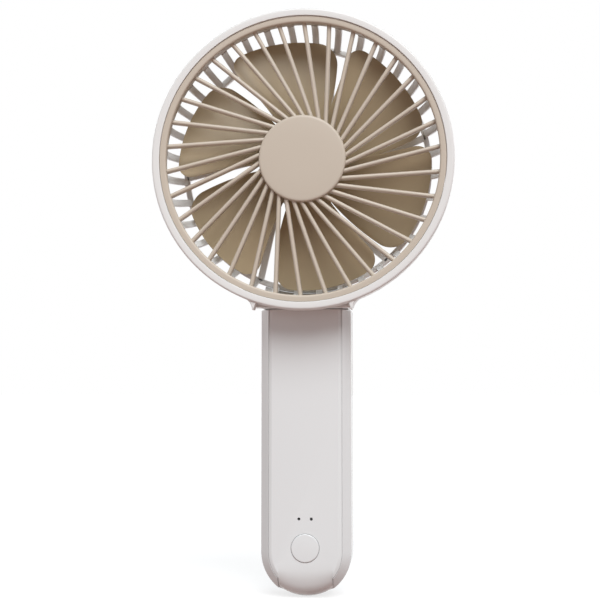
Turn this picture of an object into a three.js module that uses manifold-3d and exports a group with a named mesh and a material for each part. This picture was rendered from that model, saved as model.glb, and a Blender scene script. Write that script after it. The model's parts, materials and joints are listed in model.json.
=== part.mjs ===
// Handheld folding fan: a round caged head that folds flat behind a battery handle.
// Millimetres, Z up, X to the right, and the grille faces -Y.
// The origin is under the handle's round end, in the middle of the fan's thickness.

import * as THREE from 'three';
import Module from 'manifold-3d';
import { mergeVertices } from 'three/addons/utils/BufferGeometryUtils.js';

const wasm = await Module();
wasm.setup();

// Clearances and wall sizes that every piece shares
const fitGap = 0.3;
const seatGap = 0.2;
const pressGap = 0.1;
const overrun = 1;
const ringSides = 68;
const roundSides = 28;
const innerSides = 20;
const smallSides = 12;
const tinySides = 8;

// Handle
const handleHalfWidth = 18;
const handleLength = 114;
const handleThickness = 25;
const handleSetback = 16;
const handleWall = 1.8;
const topWall = 2;
const endSides = 14;

// Head
const headRadius = 59;
const knuckleRadius = 3.4;
const hingeInset = 4.7;
const hingeBackInset = 4.5;
const foldGap = 0.5;

// Places that follow from them, depths measured back from the ring's front plane
const overallDepth = handleSetback + handleThickness;
const hingeHeight = handleLength + knuckleRadius + fitGap;
const hingeDepth = overallDepth - hingeBackInset;
const headCentreHeight = hingeHeight + headRadius - hingeInset;
const headDepth = hingeDepth - hingeBackInset - foldGap;
const hingeDrop = headRadius - hingeInset;

// Front ring and grille
const ringWidth = 2.8;
const ringDepth = 7;
const ringRound = 1.1;
const rimWidth = 2.8;
const rimRearWidth = 1.6;
const rimSetback = 0.8;
const rimDepth = 8.2;
const rimRound = 0.7;
const spokeCount = 34;
const spokeWidth = 1.65;
const spokeThickness = 2.8;
const spokeSetback = 2.4;
const spokeBevel = 0.5;
const spokeOffset = 8.6;
const spokeStart = -2.1;
const hubDiscRadius = 15;
const capRadius = 17;
const capThickness = 1.5;
const capRound = 0.8;
const capSpigotRadius = 5;
const spigotRise = 0.6;

// Head shell
const barrelWall = 1.7;
const barrelRound = 0.4;
const barrelTaper = 0.8;
const saddleHalfWidth = 19.3;
const flareReach = 2.6;
const flareBend = 0.5;
const flareBendRise = 2;
const lugInner = 17.7;
const lugTip = 0.5;
const lugDrop = 0.7;
const lugSetback = 0.9;
const blockHalfWidth = 17;
const blockTopShare = 0.9;
const blockGapToHinge = 5.5;
const domeClearance = 0.4;
const channelHalfWidth = 3;
const channelHeight = 2.4;
const channelFloor = 1.6;

// Rear grille
const rearRingWidth = 1;
const rearRingDepth = 3.7;
const ribCount = 36;
const ribStart = 5.7;
const ribWidth = 2.5;
const ribThickness = 1.8;
const ribSteps = 3;
const ribOverlap = 1;
const ribInset = 0.3;
const domeReach = 6.2;
const midRingWidth = 2;
const midRingDepth = 3;
const midRingFromRear = 4.5;
const innerSpokeCount = 17;
const innerSpokeWidth = 2.7;
const innerSpokeThickness = 2;
const plateRadius = 17;
const plateThickness = 2;
const motorCoverRadius = 16.4;
const motorCoverWall = 1;

// Impeller
const bladeCount = 6;
const bladeTipGap = 2.9;
const bladeGapAngle = 7;
const bladeRootGapAngle = 1.5;
const bladeStart = 11.7;
const bladeSweep = 8.4;
const bladeFrontGap = 1;
const bladeAxialSpan = 13;
const bladeRootRise = 2.6;
const bladeThickness = 1.3;
const bladeCamber = 1.4;
const bladeCorner = 7;
const bladeColumns = 5;
const hubRadius = 15.5;
const hubWall = 2.3;
const hubSetback = 8;
const hubFrontWall = 1.8;
const hubLength = 12;
const hubRound = 1.2;

// Motor: it fills the hub, so its radii and its windings are shares of the hub's bore
const motorBore = hubRadius - hubWall;
const shaftShare = 0.1136;
const shaftRadius = motorBore * shaftShare;
const canWall = 0.8;
const canFrontWall = 1;
const magnetShare = 0.091;
const magnetThickness = motorBore * magnetShare;
const magnetLength = 9;
const airGap = 0.6;
const boardThickness = 1.2;
const flangeShare = 0.8333;
const flangeRadius = motorBore * flangeShare;
const flangeThickness = 1;
const tubeShare = 0.3182;
const tubeOuterRadius = motorBore * tubeShare;
const bearingWidth = 3;
const bearingShare = 0.231;
const bearingOuterRadius = motorBore * bearingShare;
const statorLength = 6;
const toothShare = 0.1667;
const toothWidth = motorBore * toothShare;
const windingShare = 0.0758;
const shoeThickness = motorBore * windingShare;
const coilThickness = motorBore * windingShare;
const shoeShare = 0.72;
const coreShare = 0.4545;
const coreRadius = motorBore * coreShare;
const toothCount = 6;
const motorScrewCount = 3;
const screwCircleShare = 0.606;
const motorScrewCircle = motorBore * screwCircleShare;
const screwHeadRadius = 1.7;
const screwHeadHeight = 1.1;
const screwShankRadius = 0.85;

// Hinge
const pinRadius = 1.5;
const knuckleHalfWidth = 8.4;
const washerThickness = 0.8;
const washerRadius = 3.2;
const hingeCapRadius = 2.4;
const hingeCapThickness = 1.2;

// Handle details
const backInset = 2.8;
const backEdge = 3;
const shoulderDepth = 0.7;
const shoulderDrop = 4.7;
const panelInset = 3.5;
const panelLip = 0.4;
const panelBevel = 1.25;
const panelBevelDepth = 0.6;
const panelHeight = 2.9;
const panelWall = 1.6;
const panelSkirt = 1.6;
const fallLength = 14;
const fallDrop = 0.7;
const chinInset = 3.5;
const chinBelowEnd = 4.3;
const chinDepth = 14;
const chinRollDepth = 2.5;
const chinRollHeight = 2.5;
const chinWall = 1.8;
const buttonAboveEnd = 2;
const buttonRadius = 5.55;
const buttonProud = 0.6;
const buttonRound = 0.7;
const buttonFlange = 1.05;
const buttonFlangeThickness = 0.8;
const buttonPostRadius = 1.4;
const buttonPostLength = 0.6;
const indicatorRise = 11.4;
const indicatorSpacing = 4.9;
const indicatorHoleRadius = 0.6;
const lightPipeRadius = 0.45;
const lightPipeFootRadius = 1;

// Electronics and cell
const switchSize = 6;
const switchHeight = 2.7;
const switchWellDepth = 2;
const plungerRadius = 1.6;
const plungerLength = 1.7;
const plungerStandOff = 0.7;
const mainBoardBottom = 14.2;
const mainBoardTop = 43;
const boardSideGap = 1.1;
const boardPostRadius = 1.1;
const boardPostInset = 1.4;
const cellBoardGap = 1.6;
const cellTopGap = 1.5;
const cellSideGap = 0.9;
const cellRound = 0.6;
const cellNubRadius = 2.8;
const cellNubHeight = 0.8;
const padHalfWidth = 7;
const padThickness = 1.2;
const padEndInset = 10.6;
const portWidth = 8.9;
const portHeight = 3.2;
const portLength = 7.3;
const portWall = 0.35;
const portSetback = 0.4;
const portHollow = 6;
const portFromBack = 7;
const tongueHeight = 0.7;
const chargeBoardHalfWidth = 8;
const chargeBoardBottom = 5;
const chargeBoardLength = 14;
const chargePostRadius = 1.5;
const backScrewInset = 5.8;
const backScrewLow = 31;
const backScrewFromTop = 10.3;
const backScrewLength = 12;
const screwPostRadius = 2.1;
const screwHoleRadius = 1.05;
const screwHeadRecess = 0.4;
const tubPostLength = 5;

const degree = Math.PI / 180;

const looks = {
  whiteGloss: { color: 0xe6e2e1, roughness: 0.22, metalness: 0 },
  whitePlastic: { color: 0xe3dfdd, roughness: 0.4, metalness: 0 },
  beige: { color: 0xc9bca4, roughness: 0.45, metalness: 0 },
  blade: { color: 0x95836a, roughness: 0.45, metalness: 0 },
  darkPlastic: { color: 0x2c2c2e, roughness: 0.5, metalness: 0 },
  steel: { color: 0xb9bbbe, roughness: 0.3, metalness: 1 },
  magnet: { color: 0x4a4846, roughness: 0.6, metalness: 0.4 },
  copper: { color: 0xb46a38, roughness: 0.35, metalness: 1 },
  board: { color: 0x1f5a3a, roughness: 0.5, metalness: 0 },
  clear: { color: 0xf2f2ee, roughness: 0.15, metalness: 0 },
  cellSleeve: { color: 0x3f6f9e, roughness: 0.4, metalness: 0 },
  foam: { color: 0x38383a, roughness: 0.9, metalness: 0 },
};

// Triangle list of a closed geometry, with shared vertices merged and faces out
function toSolid(source) {
  source.deleteAttribute('normal');
  source.deleteAttribute('uv');
  const geometry = mergeVertices(source);
  const vertices = Float32Array.from(geometry.attributes.position.array);
  const triangles = [];
  const index = geometry.index.array;
  const corner = [new THREE.Vector3(), new THREE.Vector3(), new THREE.Vector3()];
  let volume = 0;
  for (let i = 0; i < index.length; i += 3) {
    const [a, b, c] = [index[i], index[i + 1], index[i + 2]];
    if (a === b || b === c || c === a) continue;
    triangles.push(a, b, c);
    [a, b, c].forEach((vertex, k) => corner[k].fromArray(vertices, 3 * vertex));
    volume += corner[0].dot(corner[1].cross(corner[2]));
  }
  if (volume < 0) triangles.reverse();
  const mesh = { numProp: 3, vertProperties: vertices, triVerts: Uint32Array.from(triangles) };
  return new wasm.Manifold(new wasm.Mesh(mesh));
}

function toMesh(name, solid, look) {
  const { vertProperties, triVerts } = solid.getMesh();
  const geometry = new THREE.BufferGeometry();
  geometry.setAttribute('position', new THREE.Float32BufferAttribute(vertProperties, 3));
  geometry.setIndex(Array.from(triVerts));
  const mesh = new THREE.Mesh(geometry, new THREE.MeshStandardMaterial(look));
  mesh.name = name;
  return mesh;
}

const joinAll = (solids) => solids.reduce((whole, solid) => whole.add(solid));
const cutAll = (solid, cutters) => cutters.reduce((rest, cutter) => rest.subtract(cutter), solid);

// Solid of revolution about the depth axis, from [radius, depth] points
function turned(points, sides = roundSides, phase = 0) {
  const profile = points.map(([radius, depth]) => new THREE.Vector2(radius, depth));
  return toSolid(new THREE.LatheGeometry(profile, sides, phase));
}

// Ring of rectangular section, with the two edges of its front face bevelled
function band(inner, outer, front, rear, sides, phase, bevel = 0) {
  const points = [[inner, rear], [inner, front + bevel]];
  if (bevel > 0) points.push([inner + bevel, front], [outer - bevel, front]);
  points.push([outer, front + bevel], [outer, rear], [inner, rear]);
  return turned(points, sides, phase);
}

// Plain disc or rod about the depth axis
function rod(radius, front, rear, sides = smallSides) {
  return turned([[0, front], [radius, front], [radius, rear], [0, rear]], sides);
}

// Outline in X and Z, extruded from one depth to another
function slab(shape, front, rear, curveSegments = tinySides) {
  const options = { depth: rear - front, bevelEnabled: false, curveSegments };
  const geometry = new THREE.ExtrudeGeometry(shape, options);
  const axes = [new THREE.Vector3(1, 0, 0), new THREE.Vector3(0, 0, 1), new THREE.Vector3(0, -1, 0)];
  geometry.applyMatrix4(new THREE.Matrix4().makeBasis(...axes));
  return toSolid(geometry.translate(0, rear, 0));
}

// Profile in depth and Z, extruded along X
function sideways(shape, from, to, curveSegments = tinySides) {
  const options = { depth: to - from, bevelEnabled: false, curveSegments };
  const geometry = new THREE.ExtrudeGeometry(shape, options);
  const axes = [new THREE.Vector3(0, 1, 0), new THREE.Vector3(0, 0, 1), new THREE.Vector3(1, 0, 0)];
  geometry.applyMatrix4(new THREE.Matrix4().makeBasis(...axes));
  return toSolid(geometry.translate(from, 0, 0));
}

function block(fromX, toX, front, rear, bottom, top) {
  const geometry = new THREE.BoxGeometry(toX - fromX, rear - front, top - bottom);
  return toSolid(geometry.translate((fromX + toX) / 2, (front + rear) / 2, (bottom + top) / 2));
}

function polygon(points) {
  return new THREE.Shape(points.map(([x, y]) => new THREE.Vector2(x, y)));
}

// Solid turned about the depth axis so that its X points to an angle in the X-Z plane
const aimed = (solid, angle) => solid.rotate([0, -angle, 0]);

// Solid through a row of convex outlines that have the same number of points
function loft(outlines) {
  const count = outlines[0].length;
  const triangles = [];
  outlines.slice(1).forEach((outline, layer) => {
    for (let i = 0; i < count; i += 1) {
      const next = (i + 1) % count;
      const [a, b] = [layer * count + i, layer * count + next];
      triangles.push(a, b, b + count, a, b + count, a + count);
    }
  });
  const last = (outlines.length - 1) * count;
  for (let i = 1; i < count - 1; i += 1) {
    triangles.push(0, i + 1, i, last, last + i, last + i + 1);
  }
  const geometry = new THREE.BufferGeometry();
  const points = outlines.flat(2);
  geometry.setAttribute('position', new THREE.Float32BufferAttribute(points, 3));
  geometry.setIndex(triangles);
  return toSolid(geometry);
}

// Angle of a straight tangential spoke at a radius, for the spoke of number 0
const spokeAngle = (radius) => spokeStart + Math.acos(spokeOffset / radius) / degree;
const spokePitch = 360 / spokeCount;
const ribPitch = 360 / ribCount;
const ringInner = headRadius - ringWidth;
const rimOuter = ringInner - seatGap;
const rimInner = rimOuter - rimWidth;
const rimRear = rimSetback + rimDepth;
const spokeRear = spokeSetback + spokeThickness;
// The facets of every big ring are centred on the spokes' outer ends
const ringPhase = (90 - spokeAngle(rimInner) + spokePitch / 4) * degree;

// Underside of the head: a saddle over the handle that flares out to meet the ring
const saddleBottom = -hingeDrop - knuckleRadius;
const flareX = saddleHalfWidth + flareReach;
const flareZ = (radius) => -Math.sqrt(radius ** 2 - flareX ** 2);
const addFlare = (shape, radius) => {
  shape.quadraticCurveTo(
    saddleHalfWidth + flareBend, saddleBottom + flareBendRise, flareX, flareZ(radius),
  );
};

// Lug that runs from the ring's edge down into the saddle's flare
function ringLug() {
  const shape = new THREE.Shape();
  shape.moveTo(lugInner, -Math.sqrt(headRadius ** 2 - lugInner ** 2) + ringRound);
  shape.lineTo(saddleHalfWidth - lugTip, saddleBottom - lugDrop);
  shape.lineTo(saddleHalfWidth, saddleBottom - lugDrop);
  addFlare(shape, headRadius);
  shape.lineTo(flareX - ringRound, flareZ(headRadius) + ringRound);
  return slab(shape, lugSetback, ringDepth, 3);
}

function frontRing() {
  const ring = band(ringInner, headRadius, 0, ringDepth, ringSides, ringPhase, ringRound);
  const lug = ringLug();
  return toMesh('front_ring', joinAll([ring, lug, lug.mirror([1, 0, 0])]), looks.whiteGloss);
}

// Straight bar that leaves a small circle tangentially, from one radius to another
function tangentBar(width, front, rear, bevel, fromRadius, toRadius) {
  const along = (radius) => Math.sqrt(radius ** 2 - spokeOffset ** 2);
  const [left, right] = [spokeOffset - width / 2, spokeOffset + width / 2];
  const corners = [[left, rear], [left, front + bevel], [left + bevel, front]];
  corners.push([right - bevel, front], [right, front + bevel], [right, rear]);
  const length = along(toRadius) - along(fromRadius);
  const geometry = new THREE.ExtrudeGeometry(polygon(corners), { depth: length, bevelEnabled: false });
  return toSolid(geometry.translate(0, 0, along(fromRadius)));
}

function frontGrille() {
  const rimSeat = rimOuter - rimRearWidth;
  const rim = turned([
    [rimSeat, rimRear], [rimSeat, spokeRear], [rimInner, rimSetback + rimRound],
    [rimInner + rimRound, rimSetback], [rimOuter, rimSetback], [rimOuter, rimRear],
    [rimSeat, rimRear],
  ], ringSides, ringPhase);
  const disc = rod(hubDiscRadius, spokeSetback, spokeRear, spokeCount);
  const bar = tangentBar(
    spokeWidth, spokeSetback, spokeRear, spokeBevel,
    hubDiscRadius - spokeWidth, rimOuter - rimRearWidth / 2,
  );
  const solids = [rim, disc];
  for (let i = 0; i < spokeCount; i += 1) solids.push(aimed(bar, spokeStart + i * spokePitch));
  const hole = rod(capSpigotRadius + seatGap, spokeSetback - overrun, spokeRear + overrun, spokeCount);
  return toMesh('front_grille', joinAll(solids).subtract(hole), looks.beige);
}

function grilleCap() {
  const front = spokeSetback - capThickness;
  const cap = turned([
    [0, front], [capRadius - capRound, front], [capRadius, front + capRound],
    [capRadius, spokeSetback], [capSpigotRadius, spokeSetback],
    [capSpigotRadius, spokeRear + spigotRise], [0, spokeRear + spigotRise],
  ], spokeCount);
  return toMesh('grille_cap', cap, looks.beige);
}

// Radius of the rear guard's dome, from its outer ring (0) to its inner ring (1)
const shellFront = ringDepth + fitGap;
const shellInner = headRadius - barrelWall;
const rearRingOuter = shellInner - fitGap;
const ribTop = rearRingOuter - ribInset;
const midRingRadius = ribTop - domeReach;
const domeRear = headDepth - midRingFromRear + midRingDepth / 3;
const domeRadius = (share) => (
  midRingRadius + domeReach * Math.cos((share * Math.PI) / 2)
);
const rearRingFront = rimRear + fitGap;
const domeFront = rearRingFront + rearRingDepth - ribOverlap;
const domeDepth = (share) => domeFront + (domeRear - domeFront) * share;

// Everything inside the shell: the grilles' room and the dome with its clearance
function headRoom() {
  const points = [[0, -overrun], [shellInner, -overrun], [shellInner, handleSetback + overrun]];
  for (let i = 1; i <= ribSteps; i += 1) {
    const share = i / ribSteps;
    points.push([domeRadius(share) + domeClearance, domeDepth(share) + domeClearance]);
  }
  points.push([domeRadius(1) + domeClearance, overallDepth], [0, overallDepth]);
  return turned(points, ringSides, ringPhase);
}

function headShell() {
  const rearRadius = headRadius - barrelTaper;
  const half = new THREE.Shape();
  half.moveTo(0, saddleBottom);
  half.lineTo(saddleHalfWidth, saddleBottom);
  addFlare(half, rearRadius);
  half.lineTo(flareX - ringWidth, flareZ(rearRadius) + ringWidth);
  half.lineTo(0, flareZ(rearRadius) + ringWidth);
  const side = slab(half, shellFront, handleSetback, 3);
  const barrel = turned([
    [shellInner, shellFront], [headRadius, shellFront], [rearRadius, handleSetback - barrelRound],
    [rearRadius - barrelRound, handleSetback], [shellInner, handleSetback], [shellInner, shellFront],
  ], ringSides, ringPhase);
  const rearFace = hingeDepth - blockGapToHinge;
  const rear = block(
    -blockHalfWidth, blockHalfWidth, handleSetback - overrun, rearFace,
    saddleBottom, -midRingRadius * blockTopShare,
  );
  const solids = [barrel, side, side.mirror([1, 0, 0]), rear, ...ears(rearFace)];
  const channelBottom = saddleBottom + channelFloor;
  const channel = block(
    -channelHalfWidth, channelHalfWidth, handleSetback - overrun, rearFace + overrun,
    channelBottom, channelBottom + channelHeight,
  );
  const cutters = [headRoom(), channel, ...hingeBores()];
  return toMesh('head_shell', cutAll(joinAll(solids), cutters), looks.whitePlastic);
}

// The two hinge ears reach back from the saddle to round ends on the hinge axis
const earInner = knuckleHalfWidth + washerThickness + 2 * seatGap;
const earOuter = blockHalfWidth;
function ears(rearFace) {
  const profile = new THREE.Shape();
  profile.moveTo(rearFace - overrun, saddleBottom);
  profile.lineTo(hingeDepth, saddleBottom);
  profile.absarc(hingeDepth, -hingeDrop, knuckleRadius, -Math.PI / 2, Math.PI / 2, false);
  profile.lineTo(rearFace - overrun, -hingeDrop + knuckleRadius);
  return [sideways(profile, earInner, earOuter), sideways(profile, -earOuter, -earInner)];
}

// Rod along X on the hinge axis, in the head's own frame
function hingeRod(radius, from, to, sides = smallSides) {
  const geometry = new THREE.CylinderGeometry(radius, radius, to - from, sides);
  geometry.rotateZ(Math.PI / 2).translate((from + to) / 2, hingeDepth, -hingeDrop);
  return toSolid(geometry);
}

function hingeBores() {
  const seat = earOuter - hingeCapThickness;
  return [
    hingeRod(pinRadius + seatGap, -earOuter + pressGap, earOuter - pressGap),
    hingeRod(hingeCapRadius + seatGap, seat, earOuter + overrun),
    hingeRod(hingeCapRadius + seatGap, -earOuter - overrun, -seat),
  ];
}

function hingePin() {
  const half = earOuter - hingeCapThickness - fitGap;
  return toMesh('hinge_pin', hingeRod(pinRadius, -half, half), looks.steel);
}

function hingeWasher(name, side) {
  const near = knuckleHalfWidth + seatGap;
  const far = near + washerThickness;
  const [from, to] = side < 0 ? [-far, -near] : [near, far];
  const disc = hingeRod(washerRadius, from, to);
  const hole = hingeRod(pinRadius + seatGap, from - overrun, to + overrun);
  return toMesh(name, disc.subtract(hole), looks.steel);
}

function hingeCap(name, side) {
  const seat = earOuter - hingeCapThickness;
  const [from, to] = side < 0 ? [-earOuter, -seat] : [seat, earOuter];
  return toMesh(name, hingeRod(hingeCapRadius, from, to), looks.whitePlastic);
}

// Rear guard: outer ring, dome of ribs, inner ring, tangential spokes and motor plate
const plateFront = headDepth - midRingFromRear;
const plateRear = plateFront + plateThickness;
function rearGrille() {
  const front = rearRingFront;
  const phase = (90 - spokeAngle(rimInner) + spokePitch / 2) * degree;
  const ring = band(
    rearRingOuter - rearRingWidth, rearRingOuter, front, front + rearRingDepth, spokeCount, phase,
  );
  const midInner = midRingRadius - midRingWidth;
  const midRing = band(
    midInner, midRingRadius + ribInset, plateFront, plateFront + midRingDepth,
    spokeCount, phase,
  );
  const ribOutline = [];
  for (let i = 0; i <= ribSteps; i += 1) {
    const share = i / ribSteps;
    ribOutline.push([domeRadius(share), domeDepth(share)]);
  }
  for (let i = ribSteps; i >= 0; i -= 1) {
    const share = i / ribSteps;
    ribOutline.push([domeRadius(share) - ribThickness, domeDepth(share)]);
  }
  const options = { depth: ribWidth, bevelEnabled: false };
  const ribGeometry = new THREE.ExtrudeGeometry(polygon(ribOutline), options);
  const rib = toSolid(ribGeometry.translate(0, 0, -ribWidth / 2));
  const plate = rod(plateRadius, plateFront, plateRear, spokeCount);
  const bar = tangentBar(
    innerSpokeWidth, plateFront, plateFront + innerSpokeThickness, 0,
    plateRadius - innerSpokeWidth, midInner + midRingWidth / 2,
  );
  const solids = [ring, midRing, plate];
  for (let i = 0; i < ribCount; i += 1) solids.push(aimed(rib, ribStart + i * ribPitch));
  for (let i = 0; i < innerSpokeCount; i += 1) {
    solids.push(aimed(bar, spokeStart + (i * 360) / innerSpokeCount));
  }
  return toMesh('rear_grille', cutAll(joinAll(solids), motorScrewHoles()), looks.whitePlastic);
}

function motorCover() {
  const outer = motorCoverRadius;
  const cover = turned([
    [outer - motorCoverWall, plateRear], [outer, plateRear], [outer, headDepth - motorCoverWall],
    [outer - motorCoverWall, headDepth], [0, headDepth], [0, headDepth - motorCoverWall],
    [outer - motorCoverWall, headDepth - motorCoverWall], [outer - motorCoverWall, plateRear],
  ], roundSides);
  return toMesh('motor_cover', cover, looks.whitePlastic);
}

// Impeller blade as a twisted sheet between two faces, wider outside and rounded at its tip
const bladeTip = rimInner - bladeTipGap;
const bladeFront = rimRear + bladeFrontGap;
function bladePoint(radius, across, face) {
  const reach = (radius - hubRadius) / (bladeTip - hubRadius);
  const intoCorner = Math.max(0, radius - (bladeTip - bladeCorner));
  const inset = bladeCorner - Math.sqrt(Math.max(0, bladeCorner ** 2 - intoCorner ** 2));
  const insetAngle = inset / radius / degree;
  const gapAngle = bladeRootGapAngle + (bladeGapAngle - bladeRootGapAngle) * reach;
  const span = 360 / bladeCount - gapAngle - 2 * insetAngle;
  const rearEdge = bladeStart + bladeSweep * (reach - 1) + gapAngle / 2 + insetAngle;
  const angle = (rearEdge + span * across) * degree;
  const rise = bladeAxialSpan - bladeRootRise * (1 - reach);
  const whole = 360 / bladeCount - gapAngle;
  const lean = (insetAngle + span * across) / whole;
  const camber = bladeCamber * Math.sin(Math.PI * lean);
  const depth = bladeFront + rise * (1 - lean) + camber + (face * bladeThickness) / 2;
  return [radius * Math.cos(angle), depth, radius * Math.sin(angle)];
}

function bladeRadii() {
  const root = hubRadius - hubWall / 2;
  const cornerStart = bladeTip - bladeCorner;
  const middleShares = [0, 0.45, 1];
  const cornerShares = [0.55, 0.85, 0.97];
  const radii = middleShares.map((share) => root + (cornerStart - root) * share);
  return radii.concat(cornerShares.map((share) => cornerStart + bladeCorner * share));
}

function blade() {
  const loops = bladeRadii().map((radius) => {
    const loop = [];
    for (let i = 0; i <= bladeColumns; i += 1) loop.push(bladePoint(radius, i / bladeColumns, 1));
    for (let i = bladeColumns; i >= 0; i -= 1) loop.push(bladePoint(radius, i / bladeColumns, -1));
    return loop;
  });
  return stripLoft(loops);
}

// Loft whose end loops are flat strips: each end is closed column by column
function stripLoft(loops) {
  const count = loops[0].length;
  const triangles = [];
  loops.slice(1).forEach((loop, layer) => {
    for (let i = 0; i < count; i += 1) {
      const next = (i + 1) % count;
      const [a, b] = [layer * count + i, layer * count + next];
      triangles.push(a, b, b + count, a, b + count, a + count);
    }
  });
  const last = (loops.length - 1) * count;
  for (let i = 0; i < count / 2 - 1; i += 1) {
    const [a, b, c, d] = [i, i + 1, count - 2 - i, count - 1 - i];
    triangles.push(a, c, b, a, d, c);
    triangles.push(last + a, last + b, last + c, last + a, last + c, last + d);
  }
  const geometry = new THREE.BufferGeometry();
  geometry.setAttribute('position', new THREE.Float32BufferAttribute(loops.flat(2), 3));
  geometry.setIndex(triangles);
  return toSolid(geometry);
}

const canOuter = hubRadius - hubWall - seatGap;
const canFront = hubSetback + hubFrontWall + seatGap;
const canInner = canOuter - canWall;
const canRear = plateFront - flangeThickness - boardThickness - 2 * airGap;
function impeller() {
  const inner = hubRadius - hubWall;
  const wallRear = hubSetback + hubFrontWall;
  const rear = hubSetback + hubLength;
  const socket = wallRear - hubFrontWall / 2;
  const hub = turned([
    [0, hubSetback], [hubRadius - hubRound, hubSetback], [hubRadius, hubSetback + hubRound],
    [hubRadius, rear], [inner, rear], [inner, wallRear], [shaftRadius + seatGap, wallRear],
    [shaftRadius + seatGap, socket], [0, socket],
  ], innerSides);
  const oneBlade = blade();
  const pitch = 360 / bladeCount;
  const solids = [];
  for (let i = 0; i < bladeCount; i += 1) solids.push(aimed(oneBlade, i * pitch));
  return toMesh('impeller', joinAll([hub, ...solids]), looks.blade);
}

function rotorCan() {
  const hole = shaftRadius + pressGap;
  const can = turned([
    [hole, canFront], [canOuter, canFront], [canOuter, canRear], [canInner, canRear],
    [canInner, canFront + canFrontWall], [hole, canFront + canFrontWall], [hole, canFront],
  ], innerSides);
  return toMesh('rotor_can', can, looks.steel);
}

const magnetOuter = canInner - pressGap;
const magnetInner = magnetOuter - magnetThickness;
function magnetRing() {
  const front = canRear - magnetLength;
  const ring = band(magnetInner, magnetOuter, front, canRear - pressGap, innerSides, 0);
  return toMesh('magnet_ring', ring, looks.magnet);
}

const flangeFront = plateFront - flangeThickness;
function motorShaft() {
  const front = hubSetback + hubFrontWall / 2 + pressGap;
  return toMesh('motor_shaft', rod(shaftRadius, front, flangeFront), looks.steel);
}

// Flange and bearing tube that carry the stator on the rear guard's plate
const tubeInner = bearingOuterRadius + pressGap;
function motorBase() {
  const tubeFront = canFront + canFrontWall + airGap;
  const base = turned([
    [tubeInner, tubeFront], [tubeOuterRadius, tubeFront], [tubeOuterRadius, flangeFront],
    [flangeRadius, flangeFront], [flangeRadius, plateFront], [tubeInner, plateFront],
    [tubeInner, tubeFront],
  ], smallSides);
  return toMesh('motor_base', cutAll(base, motorScrewHoles()), looks.steel);
}

function bearing(name, front) {
  const inner = shaftRadius + pressGap;
  const ring = band(inner, bearingOuterRadius, front, front + bearingWidth, smallSides, 0);
  return toMesh(name, ring, looks.steel);
}

function motorBoard() {
  const inner = tubeOuterRadius + seatGap;
  const outer = magnetInner - seatGap;
  const ring = band(inner, outer, flangeFront - boardThickness, flangeFront, smallSides, 0);
  return toMesh('motor_board', cutAll(ring, motorScrewHoles()), looks.board);
}

// Laminated core: a round body with T-shaped teeth that reach the air gap
const statorRear = flangeFront - boardThickness - coilThickness - 2 * seatGap;
const statorFront = statorRear - statorLength;
const statorOuter = magnetInner - airGap;
function statorCore() {
  const body = band(
    tubeOuterRadius + pressGap, coreRadius, statorFront, statorRear, smallSides, 0,
  );
  const tooth = block(
    coreRadius - shoeThickness, statorOuter - shoeThickness / 2, statorFront, statorRear,
    -toothWidth / 2, toothWidth / 2,
  );
  const shoeAngle = (360 / toothCount) * shoeShare * degree;
  const shoe = new THREE.Shape();
  shoe.absarc(0, 0, statorOuter, -shoeAngle / 2, shoeAngle / 2, false);
  shoe.absarc(0, 0, statorOuter - shoeThickness, shoeAngle / 2, -shoeAngle / 2, true);
  const arm = tooth.add(slab(shoe, statorFront, statorRear, 2));
  const solids = [body];
  for (let i = 0; i < toothCount; i += 1) solids.push(aimed(arm, (i * 360) / toothCount));
  return toMesh('stator_core', joinAll(solids), looks.steel);
}

// Winding round one tooth, with the tooth's own clearance inside
function coil(name, angle) {
  const halfWidth = toothWidth / 2 + seatGap;
  const underShoe = statorOuter - shoeThickness - fitGap;
  const from = coreRadius + seatGap;
  const to = Math.sqrt(underShoe ** 2 - (halfWidth + coilThickness) ** 2);
  const outer = block(
    from, to, statorFront - seatGap - coilThickness, statorRear + seatGap + coilThickness,
    -halfWidth - coilThickness, halfWidth + coilThickness,
  );
  const inner = block(
    from - overrun, to + overrun, statorFront - seatGap, statorRear + seatGap,
    -halfWidth, halfWidth,
  );
  return toMesh(name, aimed(outer.subtract(inner), angle), looks.copper);
}

const motorScrewAngles = Array.from({ length: motorScrewCount }, (_, i) => (i * 360) / motorScrewCount);
const atCircle = (solid, circle, angle) => aimed(solid.translate([circle, 0, 0]), angle);
function motorScrewHoles() {
  const front = flangeFront - boardThickness - overrun;
  const hole = rod(screwHoleRadius, front, plateRear + overrun, tinySides);
  return motorScrewAngles.map((angle) => atCircle(hole, motorScrewCircle, angle));
}

function motorScrew(name, angle) {
  const front = flangeFront - boardThickness;
  const screw = rod(screwHeadRadius, plateRear, plateRear + screwHeadHeight, tinySides)
    .add(rod(screwShankRadius, front, plateRear + screwHeadHeight / 2, tinySides));
  return toMesh(name, atCircle(screw, motorScrewCircle, angle), looks.steel);
}

// Handle outline in X and Z at one depth: round below, square above
function handleOutline(halfWidth, depth, top) {
  const points = [];
  for (let i = 0; i <= endSides; i += 1) {
    const angle = Math.PI * (1 + i / endSides);
    points.push([
      halfWidth * Math.cos(angle), depth, handleHalfWidth + halfWidth * Math.sin(angle),
    ]);
  }
  points.push([halfWidth, depth, top], [-halfWidth, depth, top]);
  return points;
}

const panelHalfWidth = handleHalfWidth - panelInset;
const shoulderHalfWidth = panelHalfWidth + panelLip;
const backHalfWidth = handleHalfWidth - backInset;
const chinHalfWidth = panelHalfWidth - chinInset;
const chinTop = handleHalfWidth - chinBelowEnd;
const buttonHeight = handleHalfWidth + buttonAboveEnd;
const indicatorHeight = buttonHeight + indicatorRise;
const backInner = overallDepth - handleWall;
const panelRear = handleSetback + panelHeight;
const lipRear = panelRear + fitGap;
const cavityTop = handleLength - topWall;
const openingHalfWidth = panelHalfWidth + seatGap;

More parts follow.
